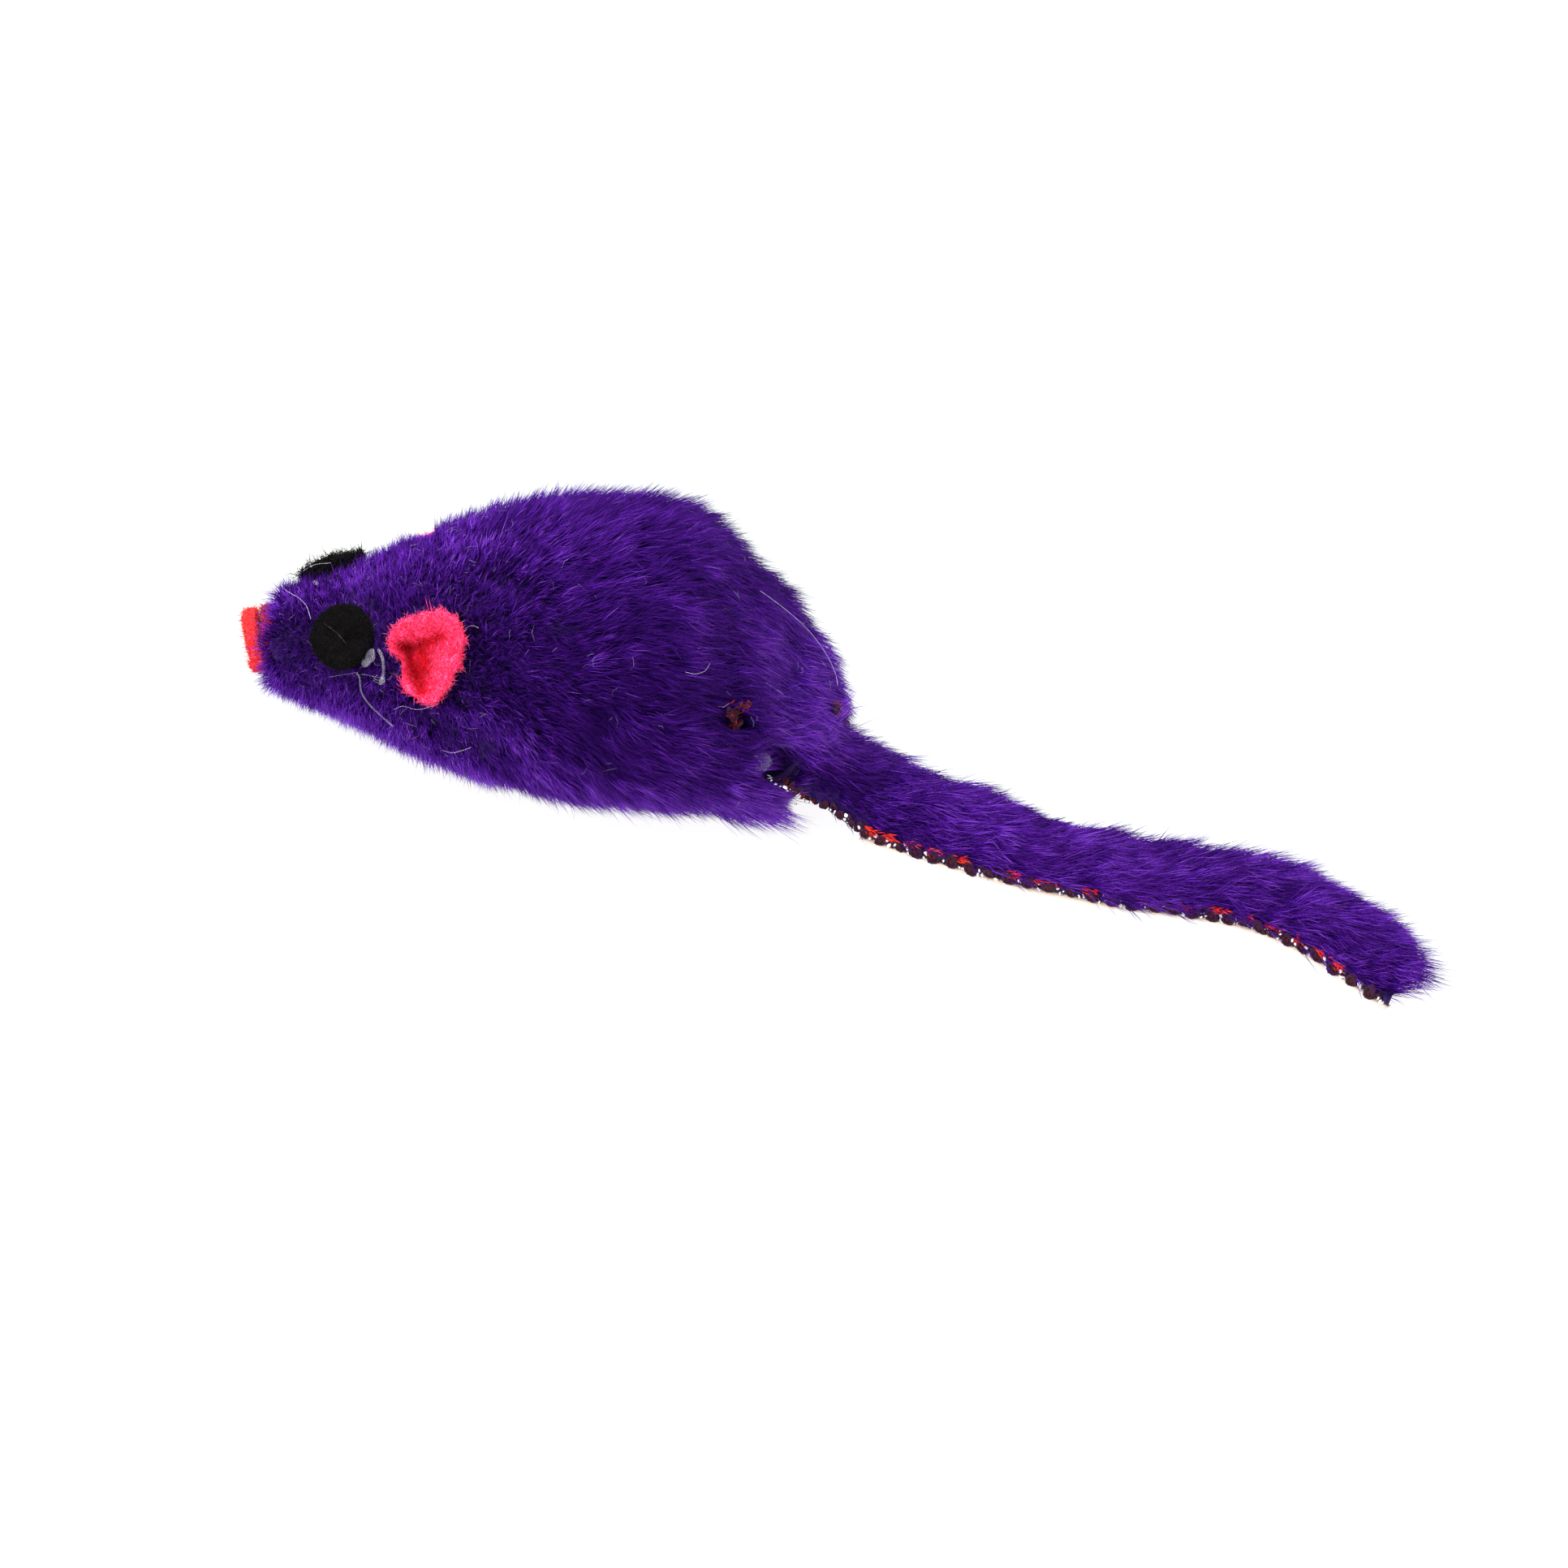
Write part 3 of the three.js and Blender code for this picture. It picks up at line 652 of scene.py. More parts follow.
class FurSettings(bpy.types.PropertyGroup):
    """Sizes and colours of the fur"""

    # The pile's colours run from painted shade at the root to painted light at the tips.
    root_colour: tint("Root colour", "Colour of the pile at the cloth", (0.010, 0.0002, 0.045))
    middle_colour: tint("Middle colour", "Colour half way up the pile", (0.068, 0.0014, 0.285))
    tip_colour: tint("Tip colour", "Colour of the ends of the pile", (0.440, 0.140, 1.000))
    cloth_colour: tint("Cloth colour", "Colour of the backing cloth", (0.012, 0.002, 0.045))
    strand_width: small_length(
        "Strand width", "Width of a strand at its root", 0.000110, 0.00004, 0.0005)
    body_strands: IntProperty(
        name="Body strands", description="Strands on the body, in all", default=122000,
        min=1000, max=200000)
    tail_strands: IntProperty(
        name="Tail strands", description="Strands on the tail, in all", default=31500,
        min=1000, max=80000)
    tuft_size: small_length(
        "Tuft size", "Distance between the middles of tufts", 0.00062, 0.0004, 0.004)


class FeltSettings(bpy.types.PropertyGroup):
    """Colours and fibres of the felt"""

    eye_colour: tint("Eye colour", "Colour of the eyes", (0.0034, 0.0030, 0.0032))
    ear_colour: tint("Ear colour", "Colour of the ears", (1.0, 0.040, 0.170))
    nose_colour: tint("Nose colour", "Colour of the nose", (1.0, 0.030, 0.034))
    fuzz_length: small_length("Fuzz length", "Length of the loose fibres", 0.0007, 0.0001, 0.003)
    fuzz_width: small_length("Fuzz width", "Width of a loose fibre", 0.00008, 0.00002, 0.0003)


class EdgeSettings(bpy.types.PropertyGroup):
    """Sizes and colours of the cut edge of the cloth"""

    loop_pitch: small_length("Loop pitch", "Distance between the knit loops", 0.0020, 0.001, 0.005)
    loop_colour: tint("Loop colour", "Colour of the knit loops", (0.040, 0.002, 0.024))
    thread_colour: tint("Thread colour", "Colour of the loose threads", (0.72, 0.020, 0.016))
    backing_colour: tint(
        "Backing colour", "Colour of the underside of the cloth", (0.86, 0.70, 0.58))


class GlueSettings(bpy.types.PropertyGroup):
    """Colours of the glue and the lint"""

    glue_colour: tint("Glue colour", "Tint of the clear glue", (0.80, 0.76, 0.92))
    lint_colour: tint("Lint colour", "Colour of the stray pale fibres", (0.50, 0.42, 0.62))
    lint_count: IntProperty(
        name="Lint fibres", description="Stray fibres on the body, in fours", default=60,
        min=0, max=400)


class CoreSettings(bpy.types.PropertyGroup):
    """Colours of the rattle inside"""

    shell_colour: tint("Shell colour", "Colour of the rattle core", (0.78, 0.76, 0.70))
    bead_colour: tint("Bead colour", "Colour of the rattle beads", (0.58, 0.54, 0.46))


class StageSettings(bpy.types.PropertyGroup):
    """Light, floor and camera"""

    floor_size: FloatProperty(
        name="Floor size", description="Side of the floor", unit="LENGTH", default=6.0, min=0.5,
        max=20)
    sky_strength: FloatProperty(
        name="Sky strength", description="Light from all round", default=0.72, min=0, max=2)
    top_power: FloatProperty(
        name="Top light", description="Power of the broad light overhead and behind",
        unit="POWER", default=7.0, min=0, max=50)
    front_power: FloatProperty(
        name="Front light", description="Power of the weaker light from the front",
        unit="POWER", default=4.0, min=0, max=50)
    lens: FloatProperty(
        name="Lens", description="Focal length of the camera, in millimetres", default=500.0,
        min=50, max=2000)


# The body: cloth, pile and the openings in it

# Valleys in the near flank's pile, as lines of pixels: depth and half width in mm. The pile is painted
# darker along them too, as shade.
VALLEYS = (
    (((862, 722), (868, 760), (866, 800), (858, 835), (872, 862)), 0.9, 1.5),
    (((600, 722), (622, 735), (643, 750)), 0.5, 1.5),
    (((655, 790), (690, 800), (735, 808)), 0.5, 1.3),
    (((604, 903), (612, 925), (632, 946)), 0.7, 1.1),
    (((722, 880), (726, 910), (738, 938)), 0.5, 1.2),
    (((880, 880), (905, 902), (935, 928), (958, 945)), 0.7, 1.2),
    (((760, 700), (800, 712), (840, 735)), 0.4, 1.2),
    (((770, 850), (805, 862), (836, 880)), 0.4, 1.2),
    (((540, 880), (565, 900), (590, 912)), 0.5, 1.2),
)
# How much higher in mm the pile stands on top of the rump, by share of the body
RUMP_PILE = ((0.70, 0), (0.78, 0.8), (0.82, 1.1), (0.87, 0.5), (0.93, 1.2), (1.0, 1.2))
# How long the pile is near the ground, against the rest: column of the photograph, and share
LOW_PILE = (
    (340, 0.4), (400, 0.65), (460, 0.7), (490, 1.3), (515, 1.2), (545, 0.8), (600, 0.45),
    (660, 0.4), (700, 0.6), (750, 0.45), (800, 0.5), (850, 0.4), (885, 1.2), (920, 1.55), (940, 1.3),
    (962, 0.7), (985, 0.35), (1020, 0.3),
)
# Where no strand of the body covers the photograph: the dart, the hollow, the gap below the
# tail's root, and the far ear's edge over the head, as middles and half sizes in pixels
CLEAR = (
    ((906, 887), (10, 13)), ((957, 957), (14, 8)), ((997, 993), (22, 14)), ((521, 652), (17, 7)))


def cut_clear(roots, bends, tips, normals):
    """Cuts strands short where they would cover one of the clear spots of the photograph."""
    cut = np.ones(len(roots))
    seen = normals @ np.array(VIEW_BACK) > -0.3
    for share in (0.95, 0.8, 0.65, 0.5, 0.35, 0.2):
        at = roots * (1 - share) ** 2 + bends * (2 * share * (1 - share)) + tips * share**2
        pixels = to_photo(at)
        for middle, half in CLEAR:
            inside = np.linalg.norm((pixels - middle) / half, axis=1) < 1
            cut[inside & seen] = share - 0.12
    cut = cut[:, None]
    return roots + (bends - roots) * cut, roots + (tips - roots) * cut


def valley(points):
    """How deep in mm, and how much as a share, each place lies in a valley of the near flank."""
    pixels = to_photo(points)
    near = ramped(points[:, 1], 0.004, 0.001)
    deep, share = np.zeros(len(points)), np.zeros(len(points))
    for line, depth, wide in VALLEYS:
        here = along_line(pixels, line, wide) * near
        deep, share = np.maximum(deep, here * depth), np.maximum(share, here)
    return deep, share


# The line inside the body that the ball is drawn in towards: how far it ends from nose and rump, in
# metres, and its height at places along it, from -1 to 1
AIM_END = 0.007
AIM_HEIGHTS = ((-1.0, 0.0130), (-0.3, 0.0142), (0.4, 0.0130), (0.8, 0.0100), (1.0, 0.0088))
# Distances from that line, in metres: outside the body, and safely inside it
OUTSIDE = 0.08
INSIDE = 0.005
BALL_SEGMENTS, BALL_RINGS = 112, 72
# How far in metres a point of the ball may stand off its neighbours, and how often pits are evened
SPIKE = 0.0012
PIT_ROUNDS = 240
# In metres: the wall of the cloth, how deep the roots of the strands are in it, and how far off the
# felt the pile keeps
CLOTH_WALL = 0.0009
ROOT_SINK = 0.0002
FELT_CLEAR = 0.0012
# The patches of fur from nose to rump, as shares of the body
FUR_BANDS = (
    ("head", -1.0, 0.27), ("shoulder", 0.27, 0.52), ("back", 0.52, 0.76), ("rump", 0.76, 2.0))


def on_body(piece, slot, *replaced):
    """The piece rides on the body and replaces these solids. The slot is not used."""
    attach(piece, "mouse_body")
    if replaced:
        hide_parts(*replaced)


def body_share(points):
    """How far along the body, from 0 at the nose end to 1 at the rump."""
    return np.clip((points[:, 0] - BODY_LOW.x) / (BODY_HIGH.x - BODY_LOW.x), 0, 1)


def outer_ball(name):
    """A ball, its poles at nose and rump, with every point drawn in onto the cover's outside."""
    ball = primitive(
        name, bpy.ops.mesh.primitive_uv_sphere_add, segments=BALL_SEGMENTS,
        ring_count=BALL_RINGS, radius=1.0, rotation=(0, math.pi / 2, 0))
    ways, _ = mesh_points(ball)
    ways = unit(ways)
    aims = np.zeros_like(ways)
    middle = (BODY_HIGH.x + BODY_LOW.x) / 2
    aims[:, 0] = middle + ((BODY_HIGH.x - BODY_LOW.x) / 2 - AIM_END) * ways[:, 0]
    aims[:, 2] = table(AIM_HEIGHTS, ways[:, 0])
    tree = solid_tree("fur_body_cover")
    places, missed = [], []
    for aim, way in zip(aims, ways):
        place, _, _, reached = tree.ray_cast(Vector(aim + way * OUTSIDE), Vector(-way))
        # Under the belly a line of sight can pass through the open seam, to the far wall
        missed.append(place is None or reached > OUTSIDE)
        places.append(Vector(aim + way * INSIDE) if missed[-1] else place)
    bridge_pits(ball, np.array(places), np.array(missed))
    return ball


def bridge_pits(ball, places, missed):
    """Draws the ball straight across the seam and the pits that the cover has for felt and glue."""
    pieces = solid_tree(*SET_IN)
    pit = np.array([pieces.find_nearest(Vector(place))[3] < PIT_REACH for place in places])
    edges = np.zeros(len(ball.data.edges) * 2, np.int32)
    ball.data.edges.foreach_get("vertices", edges)
    edges = edges.reshape(-1, 2)
    count = np.bincount(edges.ravel(), minlength=len(places))[:, None]

    def neighbours():
        total = np.zeros_like(places)
        np.add.at(total, edges[:, 0], places[edges[:, 1]])
        np.add.at(total, edges[:, 1], places[edges[:, 0]])
        return total / count

    spike = np.linalg.norm(places - neighbours(), axis=1) > SPIKE
    pit |= missed | (spike & (places[:, 2] < 6 * MM) & (body_share(places) < 0.8))
    for _ in range(PIT_ROUNDS):
        places[pit] = neighbours()[pit]
    set_points(ball, places)


# The unclosed dart and the hollow by the tail: pixel of the middle, and half sizes in mm
OPENINGS = (((908, 884), (1.1, 1.1, 1.1)), ((964, 951), (3.3, 3.6, 2.2)))
OPENING_MIDDLES = [seen_at(solid_tree("fur_body_cover"), *pixel)[0] for pixel, _ in OPENINGS]


def openness(points):
    """1 inside the dart or the hollow, falling to 0 round them."""
    near = [
        np.linalg.norm((points - np.array(middle)) / np.array(half), axis=1) / MM
        for middle, (_, half) in zip(OPENING_MIDDLES, OPENINGS)]
    return ramped(np.min(near, 0), 1.6, 0.6)


def pile_height(points):
    """Height of the pile over the cloth, in metres: more in valleys, and high on the rump."""
    share = body_share(points)
    rump = table(RUMP_PILE, share) * ramped(points[:, 2], 0.011, 0.017)
    return (table(PILE_ROWS, share, 2) + valley(points)[0] + rump) * MM


def cloth_ball(name):
    """The ball round the cover, evened out a little."""
    ball = outer_ball(name)
    with whole_mesh(ball):
        bpy.ops.mesh.vertices_smooth(factor=0.5, repeat=2)
        bpy.ops.mesh.normals_make_consistent(inside=False)
    return ball


def pile_ground(name):
    """The outside of the body's cloth, to grow the pile on."""
    ball = cloth_ball(name)
    points, normals = mesh_points(ball)
    set_points(ball, points - normals * cloth_inset(points, normals)[:, None])
    return ball


def cloth_inset(points, normals):
    """How far in the cloth lies: the height of the pile, and less where the belly presses it flat."""
    flat = ramped(points[:, 2], 0.004, 0) * (normals[:, 2] < -0.3)
    return pile_height(points) * (1 - 0.6 * flat)


class MOUSE_OT_body_cloth(bpy.types.Operator):
    """Makes the cloth under the fur of the body"""

    bl_idname = "mouse.body_cloth"
    bl_label = "Body cloth"

    def execute(self, context):
        cloth = cloth_ball("body_cloth")
        points, normals = mesh_points(cloth)
        inset = cloth_inset(points, normals) * (1 + 0.5 * openness(points))
        inset += 0.0003 * waves(points, 0.010, 3) + 0.0002 * waves(points, 0.005, 4)
        set_points(cloth, points - normals * inset[:, None])
        wall = cloth.modifiers.new("wall", "SOLIDIFY")
        wall.thickness = CLOTH_WALL
        wall.offset = -1
        finish_modifiers(cloth)
        shade_smooth(cloth)
        dark = tuple(context.scene.mouse_fur.cloth_colour)
        cloth.data.materials.append(
            cloth_material("fur_cloth", dark, scaled(dark, 2.2), 900, bump=0.6))
        on_body(cloth, "purple_fur", "fur_body_cover")
        return {"FINISHED"}


def body_flow(points):
    """The way that the pile lies: back, upwards on the shoulder, and down low and behind."""
    share = body_share(points)
    high = ramped(points[:, 2], 0.010, 0.018)
    rise = 0.46 * high * ramped(share, 0.66, 0.36) * ramped(share, 0.15, 0.40)
    down = 0.08 + 0.34 * ramped(points[:, 2], 0.013, 0.002)
    down = down * np.clip(share * 2.2, 0, 1) + 0.5 * high * ramped(share, 0.78, 0.98)
    flow = np.stack((np.ones(len(points)), np.zeros(len(points)), rise - down), 1)
    under = ramped(points[:, 2], 0.002, 0)
    flow[:, 2] *= 1 - under
    return flow


def fur_tones(roots, tuft_tone, rng):
    """A tone for each strand: its own, its tuft's and its patch's, and one in seven is bright."""
    own = 0.22 * rng.normal(size=len(roots)) + 0.48 * (rng.random(len(roots)) < 0.14)
    patch = 0.14 * waves(roots, 0.006, 5) + 0.11 * waves(roots, 0.0018, 6)
    return 0.40 + own + 0.21 * tuft_tone + patch


def painted_side_shade_and_light(points, normals):
    """Painted shade and painted light on the pile: how much darker it is made where both flanks are
    seen straight on to its ends, and how much lighter low down and at the rump.
    """
    look = np.stack((
        np.full(len(points), VIEW_BACK.x), np.where(points[:, 1] > 0, -1, 1) * VIEW_BACK.y,
        np.full(len(points), VIEW_BACK.z)), 1)
    straight = ramped((normals * look).sum(1), 0.45, 0.95)
    low = ramped(points[:, 2], 0.010, 0.004)
    behind = ramped(body_share(points), 0.8, 0.9)
    return 0.60 * straight * (1 - low) * (1 - 0.6 * behind) - 0.42 * low - 0.22 * behind


class MOUSE_OT_body_fur(bpy.types.Operator):
    """Grows the fur of the body, in eight patches"""

    bl_idname = "mouse.body_fur"
    bl_label = "Body fur"

    def execute(self, context):
        settings = context.scene.mouse_fur
        rng = np.random.default_rng(21)
        ground = pile_ground("pile_ground")
        felt = solid_tree(*FELT_NODES, "tail_root")

        def density(middles, ways):
            share = body_share(middles)
            head = 1 + 0.9 * ramped(share, 0.34, 0.14)
            under = ramped(middles[:, 2], 0.0035, 0.0015) * (ways[:, 2] < -0.85)
            return head * (1 - 0.3 * under) * (1 - openness(middles)) * 1e6

        places, normals = scatter_many(ground, density, settings.body_strands, rng)
        share = body_share(places)
        # Fur stays clear of the felt and of the tail's root
        keep = np.ones(len(places), bool)
        for at in np.nonzero((share < 0.5) | (share > 0.8))[0]:
            hit = felt.ray_cast(Vector(places[at]), Vector(normals[at]), FELT_CLEAR)
            keep[at] = hit[0] is None
        places, normals, share = places[keep], normals[keep], share[keep]
        tufts = tufts_of(places, ground, settings.tuft_size, rng)
        dip = valley(places)[1]
        low = ramped(places[:, 2], 0.008, 0.004)
        low *= 1 - table(LOW_PILE, to_photo(places)[:, 0])
        low *= ramped(normals[:, 2], -0.85, -0.60)
        length = table(PILE_ROWS, share) * MM * (1 - 0.25 * dip) * (1 - low)
        steep = np.radians(table(PILE_ROWS, share, 3))
        lie = np.radians(table(PILE_ROWS, share, 4))
        curl = table(PILE_ROWS, share, 5)
        under = ramped(places[:, 2], 0.003, 0.001)
        steep, lie = steep * (1 - 0.7 * under), lie * (1 - 0.9 * under)
        behind = ramped(share, 0.74, 0.84) * ramped(places[:, 2], 0.012, 0.018)
        steep, lie = steep * (1 - 0.4 * behind), lie * (1 - 0.8 * behind)
        head = ramped(share, 0.5, 0.35)
        roots = places - normals * ROOT_SINK
        bends, tips, facing, tuft_tone = pile(
            roots, normals, body_flow(places), length, steep, lie, curl, tufts, rng,
            stray=0.24 + 0.5 * head)
        # The pile round the nose stands forward over the edge of its felt
        collar = ramped(share, 0.05, 0.02)[:, None] * disc_place("nose_rear_disc")[1][2]
        bends, tips = bends + collar * 0.0003, tips + collar * 0.0007
        bends, tips = cut_clear(roots, bends, tips, normals)
        # Strands that would run into the felt are cut short
        for at in np.nonzero(share < 0.5)[0]:
            way = Vector(tips[at] - roots[at])
            hit = felt.ray_cast(Vector(roots[at]), way.normalized(), way.length)
            if hit[0] is not None:
                cut = max(hit[3] / way.length - 0.05, 0.05)
                bends[at] = roots[at] + (bends[at] - roots[at]) * cut
                tips[at] = roots[at] + (tips[at] - roots[at]) * cut
        widths = settings.strand_width * rng.uniform(0.7, 1.25, len(roots))
        widths *= 1 - 0.25 * ramped(share, 0.34, 0.14)
        # Painted shade: strands in the valleys of the near flank are made darker.
        tones = fur_tones(roots, tuft_tone, rng) - painted_side_shade_and_light(roots, normals) - 0.22 * dip
        material = strand_material(
            "fur_pile", settings.root_colour, settings.middle_colour, settings.tip_colour)
        for band, low, high in FUR_BANDS:
            for side, chosen in (("left", roots[:, 1] < 0), ("right", roots[:, 1] >= 0)):
                at = chosen & (share >= low) & (share < high)
                patch = strand_object(
                    f"fur_{band}_{side}", roots[at], bends[at], tips[at], facing[at], widths[at],
                    tones[at], material)
                on_body(patch, "purple_fur")
        bpy.data.objects.remove(ground)
        return {"FINISHED"}


# Felt discs: eyes, ears and nose

def felt_material(name, dark, middle, light, gloss=0.15):
    """Felt: matted fibres in three tones, times the vertex colour "depth", which holds painted shade in
    the near ear's folds and a little uneven tone elsewhere.
    """
    material, shader, nodes = new_material(name)
    place = nodes.add("TexCoord").outputs["Object"]
    warp = nodes.noise(place, Scale=900.0, Detail=3.0).outputs["Color"]
    shifted = nodes.math("MULTIPLY_ADD", warp, (0.0016,) * 3, place, kind="VectorMath")
    threads = []
    for stretch in ((5200, 900, 900), (900, 5200, 900), (900, 900, 5200)):
        squeezed = nodes.math("MULTIPLY", shifted, stretch, kind="VectorMath")
        threads.append(nodes.noise(squeezed, Scale=1.0, Detail=2.0, Roughness=0.6).outputs["Fac"])
    fibres = nodes.largest(threads)
    tones = nodes.ramp(fibres, (0.42, dark), (0.60, middle), (0.80, light))
    depth = nodes.add("VertexColor", settings={"layer_name": "depth"}).outputs["Color"]
    nodes.fill(
        shader, Base_Color=nodes.multiplied(tones, depth), Normal=nodes.relief(fibres, 0.6),
        Roughness=0.95, Sheen_Weight=gloss, Sheen_Roughness=0.5, Sheen_Tint=colour(light),
        Specular_IOR_Level=gloss)
    return material


def shade_depth(obj, tones):
    """Keeps a tone for each point, for the felt's material."""
    layer = obj.data.color_attributes.new(name="depth", type="FLOAT_COLOR", domain="POINT")
    values = np.ones((len(tones), 4))
    values[:, :3] = np.asarray(tones)[:, None] if np.ndim(tones) == 1 else tones
    layer.data.foreach_set("color", values.ravel())


def disc_place(name):
    """Middle, axes and sizes of a disc node, its third axis straight through it."""
    points = np.array([vertex.co for vertex in bpy.data.objects[name].data.vertices])
    points = np.unique(points.round(7), axis=0)
    middle = (points.max(0) + points.min(0)) / 2
    _, _, axes = np.linalg.svd(points - points.mean(0), full_matrices=False)
    if axes[2] @ (middle - np.array((0, 0, 0.013))) < 0:
        axes[2] *= -1
    axes[1] = np.cross(axes[2], axes[0])
    spread = (points - middle) @ axes.T
    radius = np.linalg.norm(spread[:, :2], axis=1).max()
    return middle, axes, radius, np.abs(spread[:, 2]).max()


def felt_disc(name, node, crown=0.0):
    """A punched disc of felt: a ball pressed flat, its edge soft and a little uneven, and its
    middle higher than its edge by the crown, in metres."""
    middle, axes, radius, half = disc_place(node)
    disc = primitive(
        name, bpy.ops.mesh.primitive_uv_sphere_add, segments=112, ring_count=48, radius=1.0)
    ways, _ = mesh_points(disc)
    turn = np.arctan2(ways[:, 1], ways[:, 0])
    share = np.arccos(np.clip(ways[:, 2], -1, 1)) / math.pi
    flat = radius - half * 0.8
    run = share * (2 * flat + math.pi * half)
    bend = np.clip((run - flat) / half, 0, math.pi)
    around = 2 * flat + math.pi * half
    reach = np.minimum(np.minimum(run, around - run), flat)
    reach = reach + 0.8 * half * np.abs(np.sin(bend)) ** 0.7 * ((bend > 0) & (bend < math.pi))
    height = half * np.sign(np.cos(bend)) * np.abs(np.cos(bend)) ** 0.6
    local = np.stack((reach * np.cos(turn), reach * np.sin(turn), height), 1)
    seed = len(name) + len(node)
    rim = (reach / radius) ** 3
    local[:, :2] *= (1 + 0.022 * rim * waves(local, 0.0022, seed))[:, None]
    local[:, 2] += 0.00010 * waves(local, 0.0016, seed + 1) + 0.00016 * waves(local, 0.004, seed + 2)
    local[:, 2] += crown * (0.5 - (reach / radius) ** 2)
    set_points(disc, middle + local @ axes)
    smooth(disc)
    return disc


# How deep the roots of loose fibres are in the felt, in metres
FIBRE_SINK = 0.00005


def fuzz(name, ground, count, length, width, material, seed, rise=0.35, favour=None, shade=None):
    """Loose fibres over felt: they lie every way, close to it, and a few stand off."""
    rng = np.random.default_rng(seed)
    favour = favour or (lambda middles, ways: np.ones(len(middles)))
    places, normals = scatter_many(ground, lambda m, w: favour(m, w) * 1e9, count, rng)
    total = len(places)
    side = unit(np.cross(normals, unit(rng.normal(size=(total, 3)))))
    over = np.cross(normals, side)
    reach = (length * np.exp(rng.normal(0, 0.4, total)))[:, None]
    lift = np.clip(rise * rng.exponential(0.5, total), 0.02, 1.4)[:, None]
    bends = places + reach * (0.45 * side + (0.25 + 0.6 * lift) * normals * 0.6)
    swing = rng.uniform(-0.7, 0.7, (total, 1))
    tips = places + reach * (0.85 * side * np.cos(lift) + swing * 0.5 * over + lift * 0.7 * normals)
    tones = 0.5 + 0.22 * rng.normal(size=total)
    if shade is not None:
        tones -= shade(places)
    widths = width * rng.uniform(0.7, 1.3, total)
    facing = unit(normals + 0.3 * rng.normal(size=(total, 3)))
    return strand_object(
        name, places - normals * FIBRE_SINK, bends, tips, facing, widths, tones, material, 0.8)


class MOUSE_OT_eyes(bpy.types.Operator):
    """Makes both eyes of black felt with their loose fibres"""

    bl_idname = "mouse.eyes"
    bl_label = "Eyes"

    def execute(self, context):
        felt = context.scene.mouse_felt
        base = tuple(felt.eye_colour)
        cloth = felt_material("eye_felt", scaled(base, 0.45), base, scaled(base, 2.4), 0.03)
        fibre = strand_material(
            "eye_fibre", base, scaled(base, 1.8), scaled(base, 4.5), roughness=0.9, sheen=0.0,
            gloss=0.06, dim=PLAIN_DIM)
        for seed, node in enumerate(("left_eye", "right_eye")):
            disc = felt_disc(f"{node}_felt", node, crown=0.0001 + 0.0006 * seed)
            shade_depth(disc, 0.9 + 0.2 * waves(mesh_points(disc)[0], 0.0015, 60 + seed))
            disc.data.materials.append(cloth)
            on_body(disc, "black_felt", node)
            middle, axes, radius, _ = disc_place(node)

            def favour(middles, ways):
                out = np.linalg.norm(np.cross(middles - middle, axes[2]), axis=1) / radius
                front = (middles - middle) @ axes[2] > -0.0004
                return (0.35 + 1.6 * ramped(out, 0.86, 0.96)) * front

            hair = fuzz(
                f"{node}_fuzz", disc, 2600, felt.fuzz_length * (0.75 + 0.5 * seed),
                felt.fuzz_width, fibre, 70 + seed, rise=0.25 + 0.45 * seed, favour=favour)
            on_body(hair, "black_felt")
        return {"FINISHED"}


class MOUSE_OT_nose(bpy.types.Operator):
    """Makes the two felt discs of the nose with their loose fibres"""

    bl_idname = "mouse.nose"
    bl_label = "Nose"

    def execute(self, context):
        felt = context.scene.mouse_felt
        base = tuple(felt.nose_colour)
        dark = (base[0] * 0.7, base[1] * 0.4, base[2] * 0.45)
        light = (1.0, base[1] * 6.0, base[2] * 5.5)
        for seed, (node, tone) in enumerate((("nose_rear_disc", 0.55), ("nose_front_disc", 1.0))):
            shades = [scaled(shade, tone) for shade in (dark, base, light)]
            fibre = strand_material(
                f"{node}_fibre", *shades, roughness=0.8, sheen=0.1, lilac=light, gloss=0.2,
                dim=PLAIN_DIM)
            disc = felt_disc(f"{node}_felt", node)
            shade_depth(disc, 0.9 + 0.1 * waves(mesh_points(disc)[0], 0.0012, 80 + seed))
            disc.data.materials.append(felt_material(f"{node}_felt", *shades))
            on_body(disc, "red_felt", node)
            hair = fuzz(
                f"{node}_fuzz", disc, 3200, felt.fuzz_length * 0.85, felt.fuzz_width * 0.9,
                fibre, 90 + seed, rise=0.6)
            on_body(hair, "red_felt")
        return {"FINISHED"}


# Folds of the near ear, as lines of pixels in the photograph: depth and half width in mm. The felt and
# its loose fibres are painted darker and redder in them, as shade.
EAR_FOLDS = (
    (((500, 797), (516, 799), (532, 793), (548, 786)), 0.8, 0.50),
    (((508, 800), (512, 815), (517, 831), (525, 850)), 1.1, 0.70),
    (((522, 800), (527, 812), (526, 826)), 0.5, 0.8),
)
# Its raised rim, side and cup, the same way: height and half width in mm
EAR_RIDGES = (
    (((476, 790), (490, 778), (508, 769), (530, 765), (552, 758), (568, 768), (575, 785)), 0.45, 0.9),
    (((488, 806), (497, 822), (503, 842), (516, 858)), 0.40, 0.7),
    (((548, 812), (550, 832)), 0.55, 1.5),
)


def ear_fold(points):
    """How far inside the near ear's folds each place lies, from 0 to 1."""
    pixels = to_photo(points)
    near = (points[:, 1] < 0) * 1.0
    folds = [along_line(pixels, line, wide * 1.15) for line, _, wide in EAR_FOLDS]
    return near * np.max(folds, 0)


